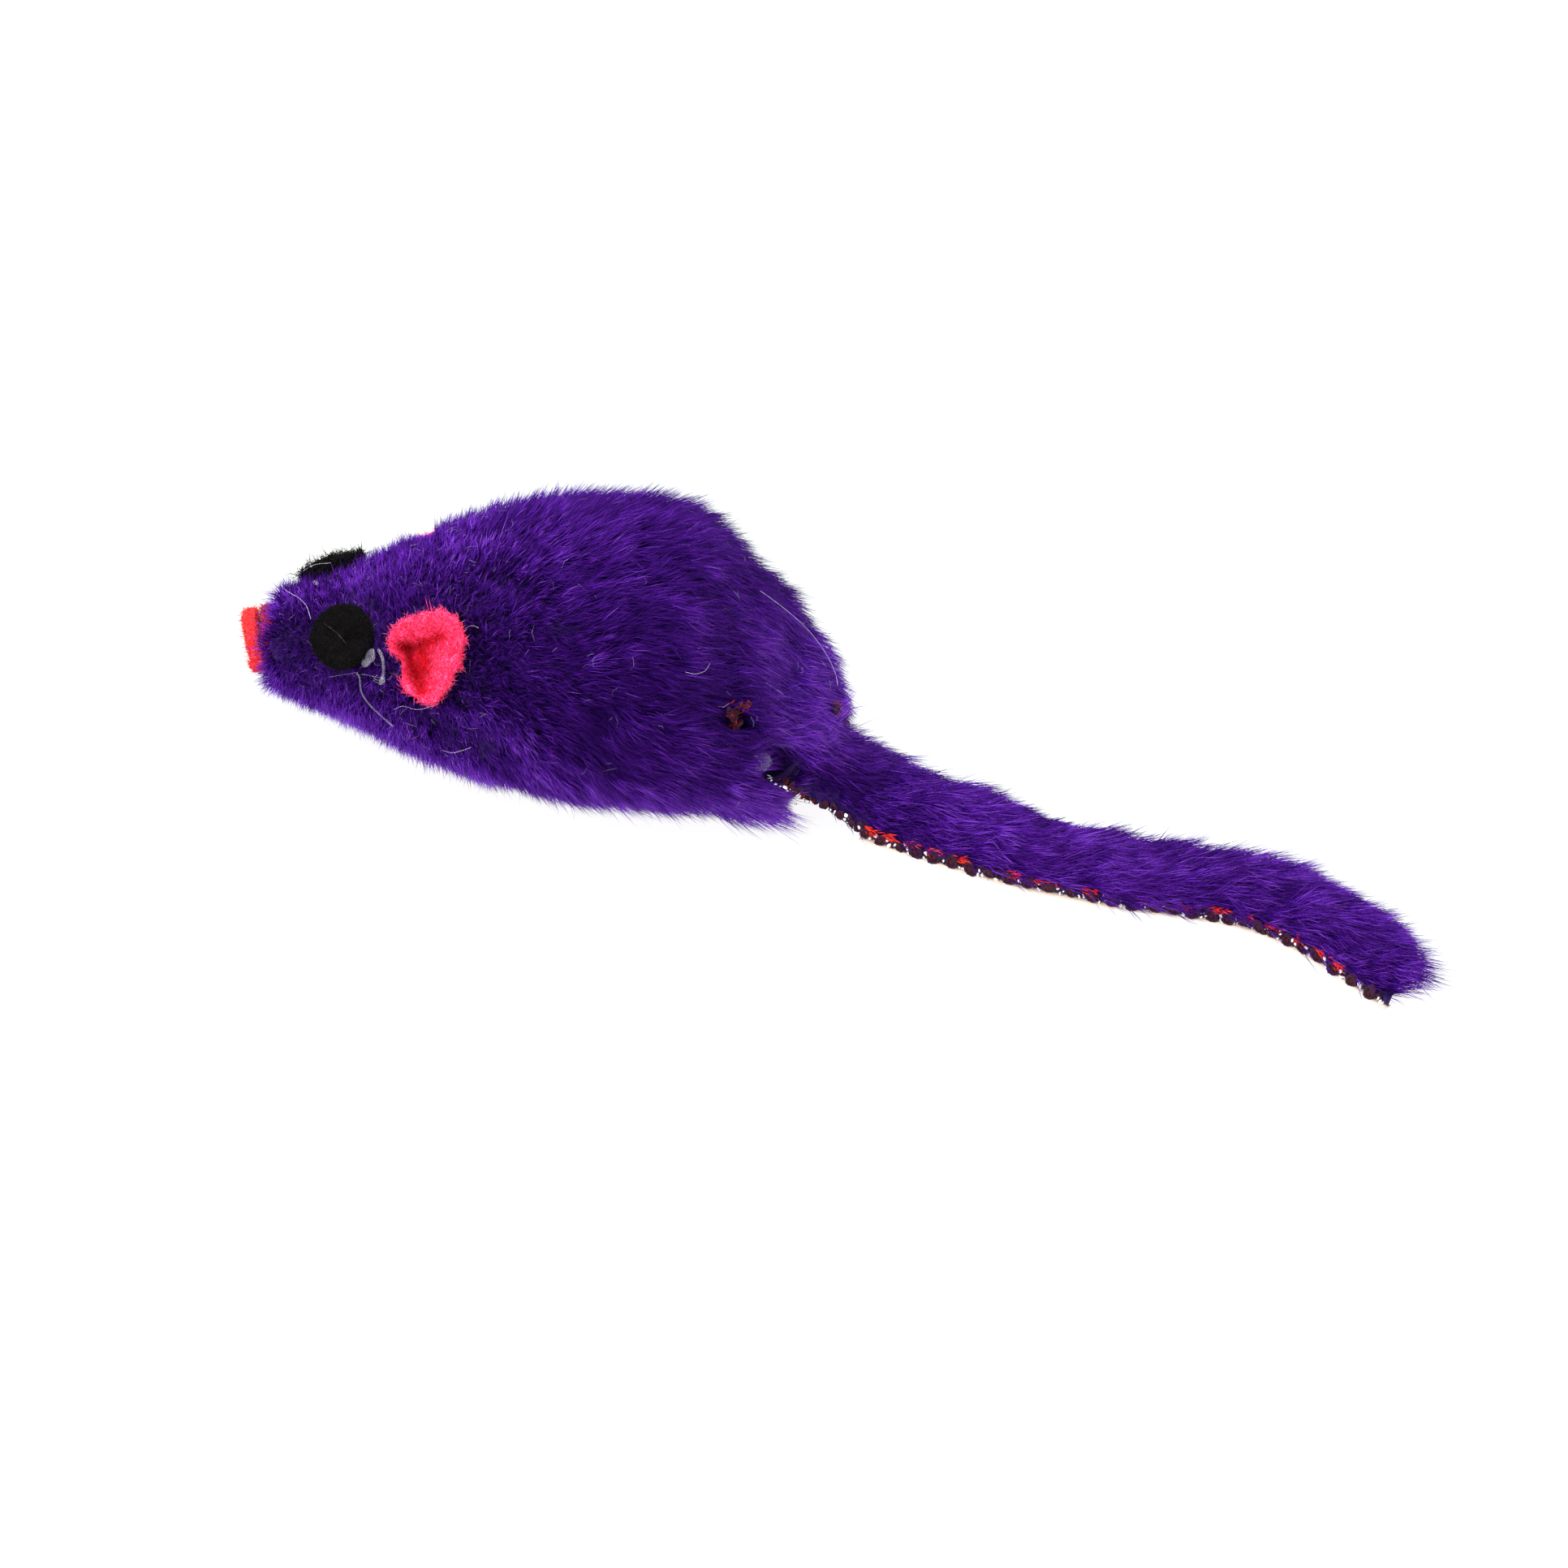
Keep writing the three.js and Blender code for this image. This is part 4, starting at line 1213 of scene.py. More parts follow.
def soft_ear(name, node):
    """A copy of the ear's solid, joined up, rounded and made fine enough for its folds."""
    mesh = bpy.data.objects[node].data.copy()
    mesh.name = name
    mesh.materials.clear()
    ear = linked_object(name, mesh)
    with whole_mesh(ear):
        bpy.ops.mesh.remove_doubles(threshold=0.00002)
        bpy.ops.mesh.tris_convert_to_quads()
    round_off = ear.modifiers.new("round", "SUBSURF")
    round_off.levels = round_off.render_levels = 4
    finish_modifiers(ear)
    smooth(ear)
    points, normals = mesh_points(ear)
    lumps = 0.00016 * waves(points, 0.0030, 31) + 0.00008 * waves(points, 0.0013, 32)
    set_points(ear, points + normals * lumps[:, None])
    return ear


class MOUSE_OT_ears(bpy.types.Operator):
    """Makes both ears of pinched pink felt with their loose fibres"""

    bl_idname = "mouse.ears"
    bl_label = "Ears"

    def execute(self, context):
        felt = context.scene.mouse_felt
        base = tuple(felt.ear_colour)
        dark = (base[0] * 0.75, base[1] * 0.15, base[2] * 0.2)
        light = (1.0, base[1] * 7.0, base[2] * 2.9)
        cloth = felt_material("ear_felt", dark, base, light)
        fibre = strand_material(
            "ear_fibre", dark, base, light, roughness=0.8, sheen=0.05, lilac=light, gloss=0.1,
            dim=((0.60, 0.03, 0.05), (0.92, 0.70, 0.74), (1.0, 0.9, 0.9)))
        for seed, node in enumerate(("left_ear", "right_ear")):
            ear = soft_ear(f"{node}_felt", node)
            points, normals = mesh_points(ear)
            depth = np.ones((len(points), 3))
            if node == "left_ear":
                pixels = to_photo(points)
                facing = np.clip((normals @ np.array(VIEW_BACK)) * 2.5, 0, 1)
                push = np.zeros(len(points))
                for line, deep, wide in EAR_FOLDS:
                    fold = along_line(pixels, line, wide)
                    push -= deep * fold
                    # Painted shade: the felt is made darker and redder in the folds, where they face
                    # the camera.
                    depth *= 1 - np.array((0.34, 0.97, 0.93)) * (fold * facing)[:, None]
                for line, high, wide in EAR_RIDGES:
                    push += high * along_line(pixels, line, wide)
                set_points(ear, points + np.array(VIEW_BACK) * push[:, None] * MM)
                smooth(ear)
            shade_depth(ear, np.clip(depth, 0.05, 1))
            ear.data.materials.append(cloth)
            on_body(ear, "pink_felt", node)
            # The loose fibres take painted shade in the folds too.
            hair = fuzz(
                f"{node}_fuzz", ear, 7000 - 4000 * seed, felt.fuzz_length, felt.fuzz_width * 0.9, fibre,
                100 + seed, rise=0.35, shade=lambda places: 0.75 * ear_fold(places))
            on_body(hair, "pink_felt")
        return {"FINISHED"}


# The tail: its curve, cloth and pile

def tail_curve():
    """Places along the tail's middle line, a small step apart, and the tail's length."""
    fine = curve_through(TAIL_LINE, 160)
    fine[:, 2] = np.maximum(fine[:, 2], 0)
    gaps = np.linalg.norm(np.diff(fine, axis=0), axis=1)
    run = np.concatenate(([0], np.cumsum(gaps)))
    even = np.arange(0, run[-1], LINE_STEP)
    return np.stack([np.interp(even, run, fine[:, axis]) for axis in range(3)], 1), run[-1]


TAIL_POINTS, TAIL_LENGTH = tail_curve()


def tail_frame(distance):
    """Middle, way along, way across to the far side, and way up, in metres, at distances in mm."""
    distance = np.atleast_1d(np.asarray(distance, float))
    inside = np.clip(distance, 0, TAIL_LENGTH - LINE_STEP)
    at = np.arange(len(TAIL_POINTS)) * LINE_STEP

    def on_line(run):
        run = np.clip(run, 0, TAIL_LENGTH - LINE_STEP)
        return np.stack([np.interp(run, at, TAIL_POINTS[:, axis]) for axis in range(3)], 1)

    along = unit(on_line(inside + 1) - on_line(inside - 1))
    middle = on_line(inside) + along * (distance - inside)[:, None]
    across = unit(np.stack((-along[:, 1], along[:, 0], np.zeros(len(along))), 1))
    up = np.cross(along, across)
    return middle * MM, along, across, up


def tail_distance(place):
    """How far along the tail a place is, in mm."""
    gaps = np.linalg.norm(TAIL_POINTS[:, :2] - np.array(place)[:2] / MM, axis=1)
    return gaps.argmin() * LINE_STEP


# A cut across the cloth of the tail: across in half widths, height in mm
TAIL_CUT = (
    (-0.97, 0.15), (-0.98, 0.55), (-0.97, 1.05), (-0.80, 1.55), (-0.50, 2.15), (0.0, 2.5),
    (0.50, 2.2), (0.80, 1.5), (0.93, 0.9), (0.93, 0.45), (0.85, 0.15), (0.0, 0.15),
)


def tail_span(part):
    """First and last distance of one of the tail's lengths, and that of the joint inside it."""
    joints = [tail_distance(JOINTS[joint]["pos_m"]) for joint, _, _ in TAIL_PARTS.values()]
    ends = [TAIL_START, *((a + b) / 2 for a, b in zip(joints, joints[1:])), TAIL_LENGTH]
    at = list(TAIL_PARTS).index(part)
    return ends[at], ends[at + 1], joints[at]


def tail_place(distance, across, height):
    """A place on the tail from mm along it, half widths across it and mm over its underside."""
    given = [np.atleast_1d(np.asarray(value, float)) for value in (distance, across, height)]
    distance, across, height = np.broadcast_arrays(*given)
    aside = across * TAIL_WIDTH / 2 * table(TAIL_SIZES, distance / TAIL_LENGTH)
    back = TIP_SKEW * ramped(distance, TAIL_LENGTH - TIP_LENGTH, TAIL_LENGTH) * aside
    place, along, sideways, up = tail_frame(distance)
    for way, reach in ((along, -back), (sideways, aside), (up, height)):
        place = place + way * reach[:, None] * MM
    return place


def on_tail(piece, part):
    """Keeps the piece's place and turn in its mesh. The stretch round the joint of its part is worked
    out but not used.
    """
    _, _, joint_at = tail_span(part)
    start, end = tail_frame((joint_at - BEND_REACH, joint_at + BEND_REACH))[0]
    start[2] = end[2] = 0.0
    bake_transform(piece)


def tail_cloth(part, materials):
    """The strip of cloth of one part, with the thick of its pile, lofted along the middle line."""
    first, last, _ = tail_span(part)
    steps = int((last - first) / RING_STEP)
    cloth = primitive(
        f"tail_cloth_{part}", bpy.ops.mesh.primitive_circle_add, vertices=len(TAIL_CUT),
        fill_type="NGON")
    with whole_mesh(cloth):
        for _ in range(steps):
            bpy.ops.mesh.extrude_region_move(TRANSFORM_OT_translate={"value": (0, 0, 1)})
    in_order(cloth)
    cut = np.array(TAIL_CUT)
    points, _ = mesh_points(cloth)
    level = np.rint(points[:, 2])
    angle = np.degrees(np.arctan2(points[:, 1], points[:, 0])) % 360
    ring = np.rint(angle * len(cut) / 360).astype(int) % len(cut)
    distance = first + (last - first) * level / steps
    taper = np.clip((TAIL_LENGTH - distance) / 5, 0.35, 1)
    taper = taper * table(TAIL_SIZES, distance / TAIL_LENGTH, 2)
    height = np.where(cut[ring, 1] > 1.1, 1.05 + (cut[ring, 1] - 1.05) * taper, cut[ring, 1])
    set_points(cloth, tail_place(distance, cut[ring, 0], height))
    smooth(cloth)
    for material in materials:
        cloth.data.materials.append(material)
    for face in cloth.data.polygons:
        low = face.center.z < 0.0003
        face.material_index = 1 if low and face.normal.z < -0.5 else 0
    return cloth


class MOUSE_OT_tail_cloth(bpy.types.Operator):
    """Makes the strip of cloth of the tail, in four lengths"""

    bl_idname = "mouse.tail_cloth"
    bl_label = "Tail cloth"

    def execute(self, context):
        fur, edge = context.scene.mouse_fur, context.scene.mouse_edge
        dark = tuple(fur.cloth_colour)
        pale = tuple(edge.backing_colour)
        knit = cloth_material("tail_knit", dark, scaled(dark, 2.2), 900, bump=0.7)
        under = cloth_material("tail_backing", scaled(pale, 0.8), pale, 1400, bump=0.5)
        for part in TAIL_PARTS:
            cloth = tail_cloth(part, (knit, under))
            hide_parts(*TAIL_PARTS[part][1])
            on_tail(cloth, part)
        return {"FINISHED"}


# How steeply the pile leaves the tail's cloth and how steeply it ends, and its curl
TAIL_STEEP, TAIL_LIE, TAIL_CURL = math.radians(34), math.radians(5), 0.07
# How long the pile is at the far side of the tail, against the rest: mm along it, and share
FAR_SIDE = ((0, 1), (20, 1), (23, 0.6), (31, 0.5), (35, 0.9), (52, 1), (56, 0.7), (63, 0.65), (67, 1))


class MOUSE_OT_tail_fur(bpy.types.Operator):
    """Grows the fur of the tail, in four lengths"""

    bl_idname = "mouse.tail_fur"
    bl_label = "Tail fur"

    def execute(self, context):
        settings = context.scene.mouse_fur
        for seed, part in enumerate(TAIL_PARTS):
            rng = np.random.default_rng(40 + seed)
            cloth = bpy.data.objects[f"tail_cloth_{part}"]
            first, last, _ = tail_span(part)
            wanted = settings.tail_strands * (last - first) / TAIL_LENGTH

            def density(middles, ways):
                top = ramped(ways[:, 2], -0.35, 0.15)
                along = tail_frame(np.array([tail_distance(middle) for middle in middles]))[1]
                return top * (np.abs((ways * along).sum(1)) < 0.75) * 1e6

            places, normals = scatter_many(cloth, density, wanted, rng)
            tufts = tufts_of(places, cloth, settings.tuft_size, rng)
            distance = np.array([tail_distance(place) for place in places])
            middle, along, across, _ = tail_frame(distance)
            side = ((places - middle) * across).sum(1) / (TAIL_WIDTH / 2 * MM)
            near = ramped(side, -0.78, -0.98)
            keep = rng.random(len(places)) > near * 0.9
            keep &= ~((places[:, 2] < 0.0011) & (side < 0))
            places, normals, tufts = places[keep], normals[keep], tufts[keep]
            along, across, side, distance = along[keep], across[keep], side[keep], distance[keep]
            normals = unit(normals - along * (normals * along).sum(1, keepdims=True))
            count = len(places)
            lean = 0.04 + 0.24 * np.clip(side, 0, 1) + 0.10 * waves(places, 0.012, 7)
            end = ramped(distance, TAIL_LENGTH - 9, TAIL_LENGTH - 3)
            lean += 0.26 * ramped(distance, TAIL_LENGTH - 24, TAIL_LENGTH - 10)
            lean -= (0.42 * side + 0.16) * end
            flow = along + across * lean[:, None]
            flow[:, 2] = np.minimum(flow[:, 2], 0.05)
            far = np.clip(side * 1.5, 0, 1)
            length = (4.9 + 0.5 * waves(places, 0.008, 8)) * MM
            length *= 1 - 0.25 * ramped(side, 0, -1)
            length *= 1 - 0.7 * end * far + 0.25 * end * (np.abs(side + 0.2) < 0.4)
            length *= 1 - 0.6 * ramped(distance, 17, 13) * ramped(side, -0.3, -0.8)
            length *= 1 - far * (1 - table(FAR_SIDE, distance))
            roots = places - normals * ROOT_SINK
            bends, tips, facing, tuft_tone = pile(
                roots, normals, flow, length, TAIL_STEEP, TAIL_LIE, np.full(count, TAIL_CURL), tufts,
                rng, pull=0.3)
            widths = settings.strand_width * rng.uniform(0.7, 1.25, count)
            tones = fur_tones(roots, tuft_tone, rng)
            # Painted shade: the tail's pile is made darker near the root on its near side, where the
            # body shades it, and a little darker all over.
            tones -= 0.08 + 0.34 * ramped(distance, 15, 10) * ramped(side, 0.6, -0.4)
            fur = strand_object(
                f"tail_fur_{part}", roots, bends, tips, facing, widths, tones,
                bpy.data.materials["fur_pile"])
            on_tail(fur, part)
        return {"FINISHED"}


# The cut edge of the cloth

def loop_template():
    """One loop of the knit: a plump ring, a little egg-shaped, its yarn uneven."""
    ring = primitive(
        "loop_template", bpy.ops.mesh.primitive_torus_add, major_segments=20, minor_segments=9,
        major_radius=0.5, minor_radius=0.23)
    points, normals = mesh_points(ring)
    points = points + normals * (0.05 * waves(points, 0.5, 301))[:, None]
    points[:, 1] *= 1.15 + 0.25 * points[:, 1]
    set_points(ring, points)
    return form_template(ring)


def lump_template():
    """One small lump of twisted yarn."""
    lump = primitive(
        "lump_template", bpy.ops.mesh.primitive_ico_sphere_add, subdivisions=2, radius=0.5)
    points, normals = mesh_points(lump)
    set_points(lump, points + normals * (0.09 * waves(points, 0.6, 302))[:, None])
    return form_template(lump)


def copies(name, template, places, axes, sizes, material):
    """Copies of a form in one mesh: places, axes as rows, and size in each axis, in mm."""
    points, faces = template
    grown = points[None] * np.asarray(sizes)[:, None] * MM
    points = np.asarray(places)[:, None] + np.einsum("npk,nkj->npj", grown, axes)
    return stacked(name, points, faces, material)


def joined(name, *objects):
    """One object of several, which keep their materials."""
    deselect_all()
    for obj in objects:
        obj.select_set(True)
    bpy.context.view_layer.objects.active = objects[0]
    bpy.ops.object.join()
    return named_active(name)


def turned(axes, rng, most):
    """Axes turned a little at random."""
    return unit(axes + rng.uniform(-most, most, axes.shape))


def curve_tubes(name, lines, material):
    """Round threads along lines of places with radii, in one mesh with closed ends."""
    data = bpy.data.curves.new(name, "CURVE")
    data.dimensions = "3D"
    data.bevel_depth = 1.0
    data.bevel_resolution = 1
    data.use_fill_caps = True
    for places, radii in lines:
        spline = data.splines.new("POLY")
        spline.points.add(len(places) - 1)
        for point, place, radius in zip(spline.points, places, radii):
            point.co = (*place, 1.0)
            point.radius = radius
    linked_object(name, data)
    bpy.ops.object.convert(target="MESH")
    obj = named_active(name)
    with whole_mesh(obj):
        bpy.ops.mesh.remove_doubles(threshold=0.000001)
    smooth(obj)
    obj.data.materials.clear()
    obj.data.materials.append(material)
    return obj


def edge_distance(across_pixel):
    """How far along the tail its near edge shows at this column of the photograph."""
    at = np.linspace(2, TAIL_LENGTH, 400)
    return np.interp(across_pixel, to_photo(tail_place(at, -1.0, 0.5))[:, 0], at)


# In metres: how low the knit can lie, the radius of the backing's rim, and widths of red fibres
LOWEST_KNIT = 0.00002
RIM_RADIUS = 0.00045
RED_WIDTH = 0.00017
KNIT_FIBRE_WIDTH = 0.00012
# Columns of the photograph where red threads lie over the near edge of the tail
RED_THREADS = (
    1067, 1090, 1120, 1148, 1180, 1243, 1268, 1290, 1340, 1405, 1455, 1488, 1505, 1532, 1558,
    1562, 1592, 1617, 1640,
)


class MOUSE_OT_tail_edge(bpy.types.Operator):
    """Makes the cut edge of the tail: knit loops, red threads, painted glints and backing"""

    bl_idname = "mouse.tail_edge"
    bl_label = "Tail edge"

    def execute(self, context):
        edge = context.scene.mouse_edge
        dark, red = tuple(edge.loop_colour), tuple(edge.thread_colour)
        pale = tuple(edge.backing_colour)
        yarn = cloth_material(
            "knit_yarn", scaled(dark, 0.35), dark, 2600, roughness=0.5, bump=0.8, sheen=0)
        brown = cloth_material(
            "knit_brown", (0.006, 0.001, 0.003), (0.08, 0.005, 0.007), 3000, roughness=0.6, bump=0.8,
            sheen=0)
        # Painted glints: white glossy lumps between the knit loops.
        bright = cloth_material(
            "painted_glint", (0.55, 0.50, 0.60), (1.0, 0.98, 1.0), 4000, roughness=0.25, bump=0.3)
        ledge = cloth_material("knit_ledge", scaled(pale, 0.85), pale, 1800, bump=0.3)
        fibre = strand_material(
            "red_fibre", scaled(red, 0.7), red, (1.0, 0.06, 0.04), gloss=0.15, sheen=0,
            dim=((0.12, 0.05, 0.05), (0.75,) * 3, (1.0,) * 3))
        pitch = edge.loop_pitch / MM
        reds = edge_distance(np.array(RED_THREADS, float))
        for seed, part in enumerate(TAIL_PARTS):
            rng = np.random.default_rng(200 + seed)
            first, last, _ = tail_span(part)
            at = np.arange(math.ceil((max(first, 8.0) - 0.4) / pitch), (last - 0.3) / pitch) * pitch
            _, along, aside, up = tail_frame(at)
            count = len(at)
            axes = np.stack([turned(way, rng, 0.3) for way in (along, up, -aside)], 1)
            size = rng.uniform(0.9, 1.15, (count, 1)) * np.clip((at / 20)[:, None], 0.55, 1)
            place = tail_place(at, -1.06, 0.90 + 0.05 * rng.normal(size=count))
            rings = copies(f"tail_edge_{part}", LOOP, place, axes, size * (1.0, 0.95, 1.0), yarn)
            cores = copies(
                f"tail_cores_{part}", LUMP, place, axes, size * (0.6, 0.7, 0.4), brown)
            small_at = at + pitch * 0.5
            small = tail_place(small_at, -1.02, 0.95 + 0.12 * rng.normal(size=count))
            knots = copies(
                f"tail_knots_{part}", LOOP, small, axes[::-1], rng.uniform(0.5, 0.8, (count, 3)), yarn)
            spots = np.repeat(small_at, 4) + rng.normal(0, 0.30, count * 4)
            bits = tail_place(
                spots, rng.uniform(-1.07, -0.98, len(spots)), rng.uniform(0.3, 1.3, len(spots)))
            sparkle = copies(
                f"tail_painted_glints_{part}", LUMP, bits, np.repeat(axes, 4, 0),
                rng.uniform(0.16, 0.5, (len(spots), 3)), bright)
            run = np.linspace(max(first, 13.5), last, 40)
            rim_line = (tail_place(run, -0.99, 0.42), np.full(len(run), RIM_RADIUS))
            rim = curve_tubes(f"tail_ledge_{part}", [rim_line], ledge)
            set_points(rim, mesh_points(rim)[0] * (1, 1, 0.18))
            strip = joined(f"tail_edge_{part}", rings, cores, knots, sparkle, rim)
            set_points(strip, np.maximum(mesh_points(strip)[0], (-np.inf, -np.inf, LOWEST_KNIT)))
            on_tail(strip, part)
            inside = reds[(reds > first + 0.4) & (reds < last - 0.4)]
            starts = np.repeat(inside, 30) + rng.normal(0, 0.35, len(inside) * 30)
            spread = rng.normal(size=len(starts))
            roots = tail_place(starts, -1.02 + 0.02 * spread, 1.4 + 0.16 * rng.normal(size=len(starts)))
            _, along, aside, up = tail_frame(starts)
            reach = rng.uniform(0.5, 1.3, (len(starts), 1)) * MM
            way = unit(along + 0.25 * rng.normal(size=along.shape))
            tips = roots + way * reach + up * 0.15 * reach * rng.normal(size=reach.shape)
            bends = roots + way * reach * 0.5 + (up * 0.35 - aside * 0.2) * reach
            threads = strand_object(
                f"tail_red_{part}", roots, bends, tips, unit(up - aside),
                RED_WIDTH * rng.uniform(0.6, 1.3, len(starts)),
                rng.uniform(0.35, 0.95, len(starts)), fibre, 0.8)
            on_tail(threads, part)
        return {"FINISHED"}


# Pixels of the photograph along the knit that shows in the dart and at the rump's cut edge
DART_KNIT = ((900, 880), (905, 886), (911, 892), (908, 897), (903, 893), (912, 882), (907, 878))
SIDE_KNIT = ((914, 870), (919, 872), (923, 867))
RUMP_KNIT = ((1030, 869), (1034, 874), (1037, 880), (1040, 885), (1031, 880))
# Painted glints in the hollow: white lumps at these pixels.
GLINTS = (
    (944, 950), (948, 955), (951, 961), (956, 965), (962, 968), (968, 971), (974, 972), (979, 976),
    (983, 979), (986, 982), (949, 958), (971, 975),
)
HOLLOW_KNIT = ((968, 962), (975, 969), (982, 975), (989, 980), (996, 983), (1004, 987), (1014, 993))


class MOUSE_OT_knit_openings(bpy.types.Operator):
    """Makes the knit that shows in the dart, the hollow and the rump's cut edge"""

    bl_idname = "mouse.knit_openings"
    bl_label = "Knit in the openings"

    def execute(self, context):
        tree = solid_tree("fur_body_cover", "tail_root", "tail_base")
        yarn, brown = bpy.data.materials["knit_yarn"], bpy.data.materials["knit_brown"]
        fibre = bpy.data.materials["red_fibre"]
        rng = np.random.default_rng(230)
        pieces = []
        for name, pixels, sink, size in (
                ("dart", DART_KNIT, 2.5, 0.7), ("side", SIDE_KNIT, 0.3, 0.4),
                ("rump", RUMP_KNIT, 0.3, 0.8), ("hollow", HOLLOW_KNIT, 0.3, 0.6)):
            seen = [seen_at(tree, *pixel) for pixel in pixels]
            place = np.array([spot - VIEW_BACK * sink * MM for spot, _ in seen])
            out = np.array([way for _, way in seen])
            aside = unit(np.cross(out, rng.normal(size=out.shape)))
            axes = np.stack((aside, np.cross(out, aside), out), 1)
            sizes = size * rng.uniform(0.7, 1.2, (len(place), 3))
            pieces += [
                copies(f"{name}_loops", LOOP, place, axes, sizes, yarn),
                copies(f"{name}_cores", LUMP, place, axes, sizes * 0.55, brown),
            ]
            roots = np.repeat(place, 3, 0) + rng.normal(0, 0.0003, (len(place) * 3, 3))
            facing = np.repeat(out, 3, 0)
            way = unit(np.cross(facing, rng.normal(size=roots.shape)))
            reach = rng.uniform(0.3, 0.8, (len(roots), 1)) * MM
            pieces.append(strand_object(
                f"{name}_threads", roots, roots + way * reach * 0.5 + facing * 0.0004,
                roots + way * reach, facing, np.full(len(roots), KNIT_FIBRE_WIDTH),
                rng.uniform(0.0, 0.30, len(roots)), fibre, 0.8))
        # Painted glints: white lumps in the hollow.
        place = np.array([seen_at(tree, *pixel, lift=-0.1 * MM)[0] for pixel in GLINTS])
        axes = unit(rng.normal(size=(len(place), 3, 3)))
        pieces.append(copies(
            "glints", LUMP, place, axes, rng.uniform(0.12, 0.45, (len(place), 3)),
            bpy.data.materials["painted_glint"]))
        on_body(joined("knit_openings", *pieces), "purple_fur")
        return {"FINISHED"}


# Glue and lint

# In mm, how high strings and threads of glue, and stray fibres, lie over the cover
STRING_LIFT, THREAD_LIFT, LINT_LIFT = 0.25, 0.22, 0.3
# In metres: radii of the glue's thread, its wisps and the belly's line, and the width of a fibre
THREAD_RADIUS, WISP_RADIUS, SEAM_RADIUS = 0.00009, 0.000025, 0.00042
LINT_WIDTH = 0.000025
SEAM_POINTS = 90
# Strings of glue, and stray fibres, as columns and rows of the photograph
CHEEK_STRING = ((471, 800), (476, 809), (478, 820), (478, 831), (476, 839), (473, 843))
CHEEK_STRING_RADII = (0.18, 0.19, 0.17, 0.19, 0.34, 0.20)
CHEEK_THREAD = ((444, 829), (448, 835), (450, 851), (458, 865), (472, 879), (481, 887), (489, 894))
CHEEK_SMEAR = (458, 813)
CHEEK_WISPS = (
    ((410, 834), (423, 832), (436, 830), (444, 829)), ((450, 831), (463, 833), (474, 836)),
    ((478, 836), (470, 838), (463, 833)), ((473, 843), (466, 838), (470, 832)),
)
BODY_LINT = (
    ((354, 729), (363, 735), (374, 741), (383, 751), (388, 765)),
    ((376, 705), (391, 697), (410, 695)),
    ((578, 777), (586, 774), (595, 776)),
    ((491, 873), (502, 869), (519, 873), (541, 869)),
    ((549, 922), (562, 925), (573, 923), (585, 919)),
    ((845, 830), (857, 832), (868, 828), (874, 819)),
)
RUMP_THREAD = (
    ((934, 731), (960, 750), (984, 770), (1003, 791), (1017, 812), (1026, 832), (1029, 847)),)
BROWN_LINT = (((506, 903), (512, 908), (520, 905)),)
EYE_LINT = (((405, 770), (416, 778), (426, 787), (432, 795)),)


def glue_material():
    """Clear glue: nearly clear and glossy, a little milky in places."""
    material, shader, nodes = new_material("clear_glue_soft")
    place = nodes.add("TexCoord").outputs["Object"]
    noise = nodes.noise(place, Scale=1600.0, Detail=3.0).outputs["Fac"]
    clear = tuple(bpy.context.scene.mouse_glue.glue_colour)
    nodes.fill(
        shader, Base_Color=nodes.ramp(noise, (0.3, scaled(clear, 0.55)), (0.75, clear)),
        Roughness=nodes.ramp(noise, (0.3, (0.08,) * 3), (0.8, (0.32,) * 3)),
        Transmission_Weight=0.9, IOR=1.42)
    return material


def seen_line(tree, pixels, lift, steps=8):
    """A smooth line of places over a surface, through pixels of the photograph."""
    fine = curve_through([(*pixel, 0) for pixel in pixels], steps)
    return np.array([seen_at(tree, across, down, lift * MM)[0] for across, down, _ in fine])


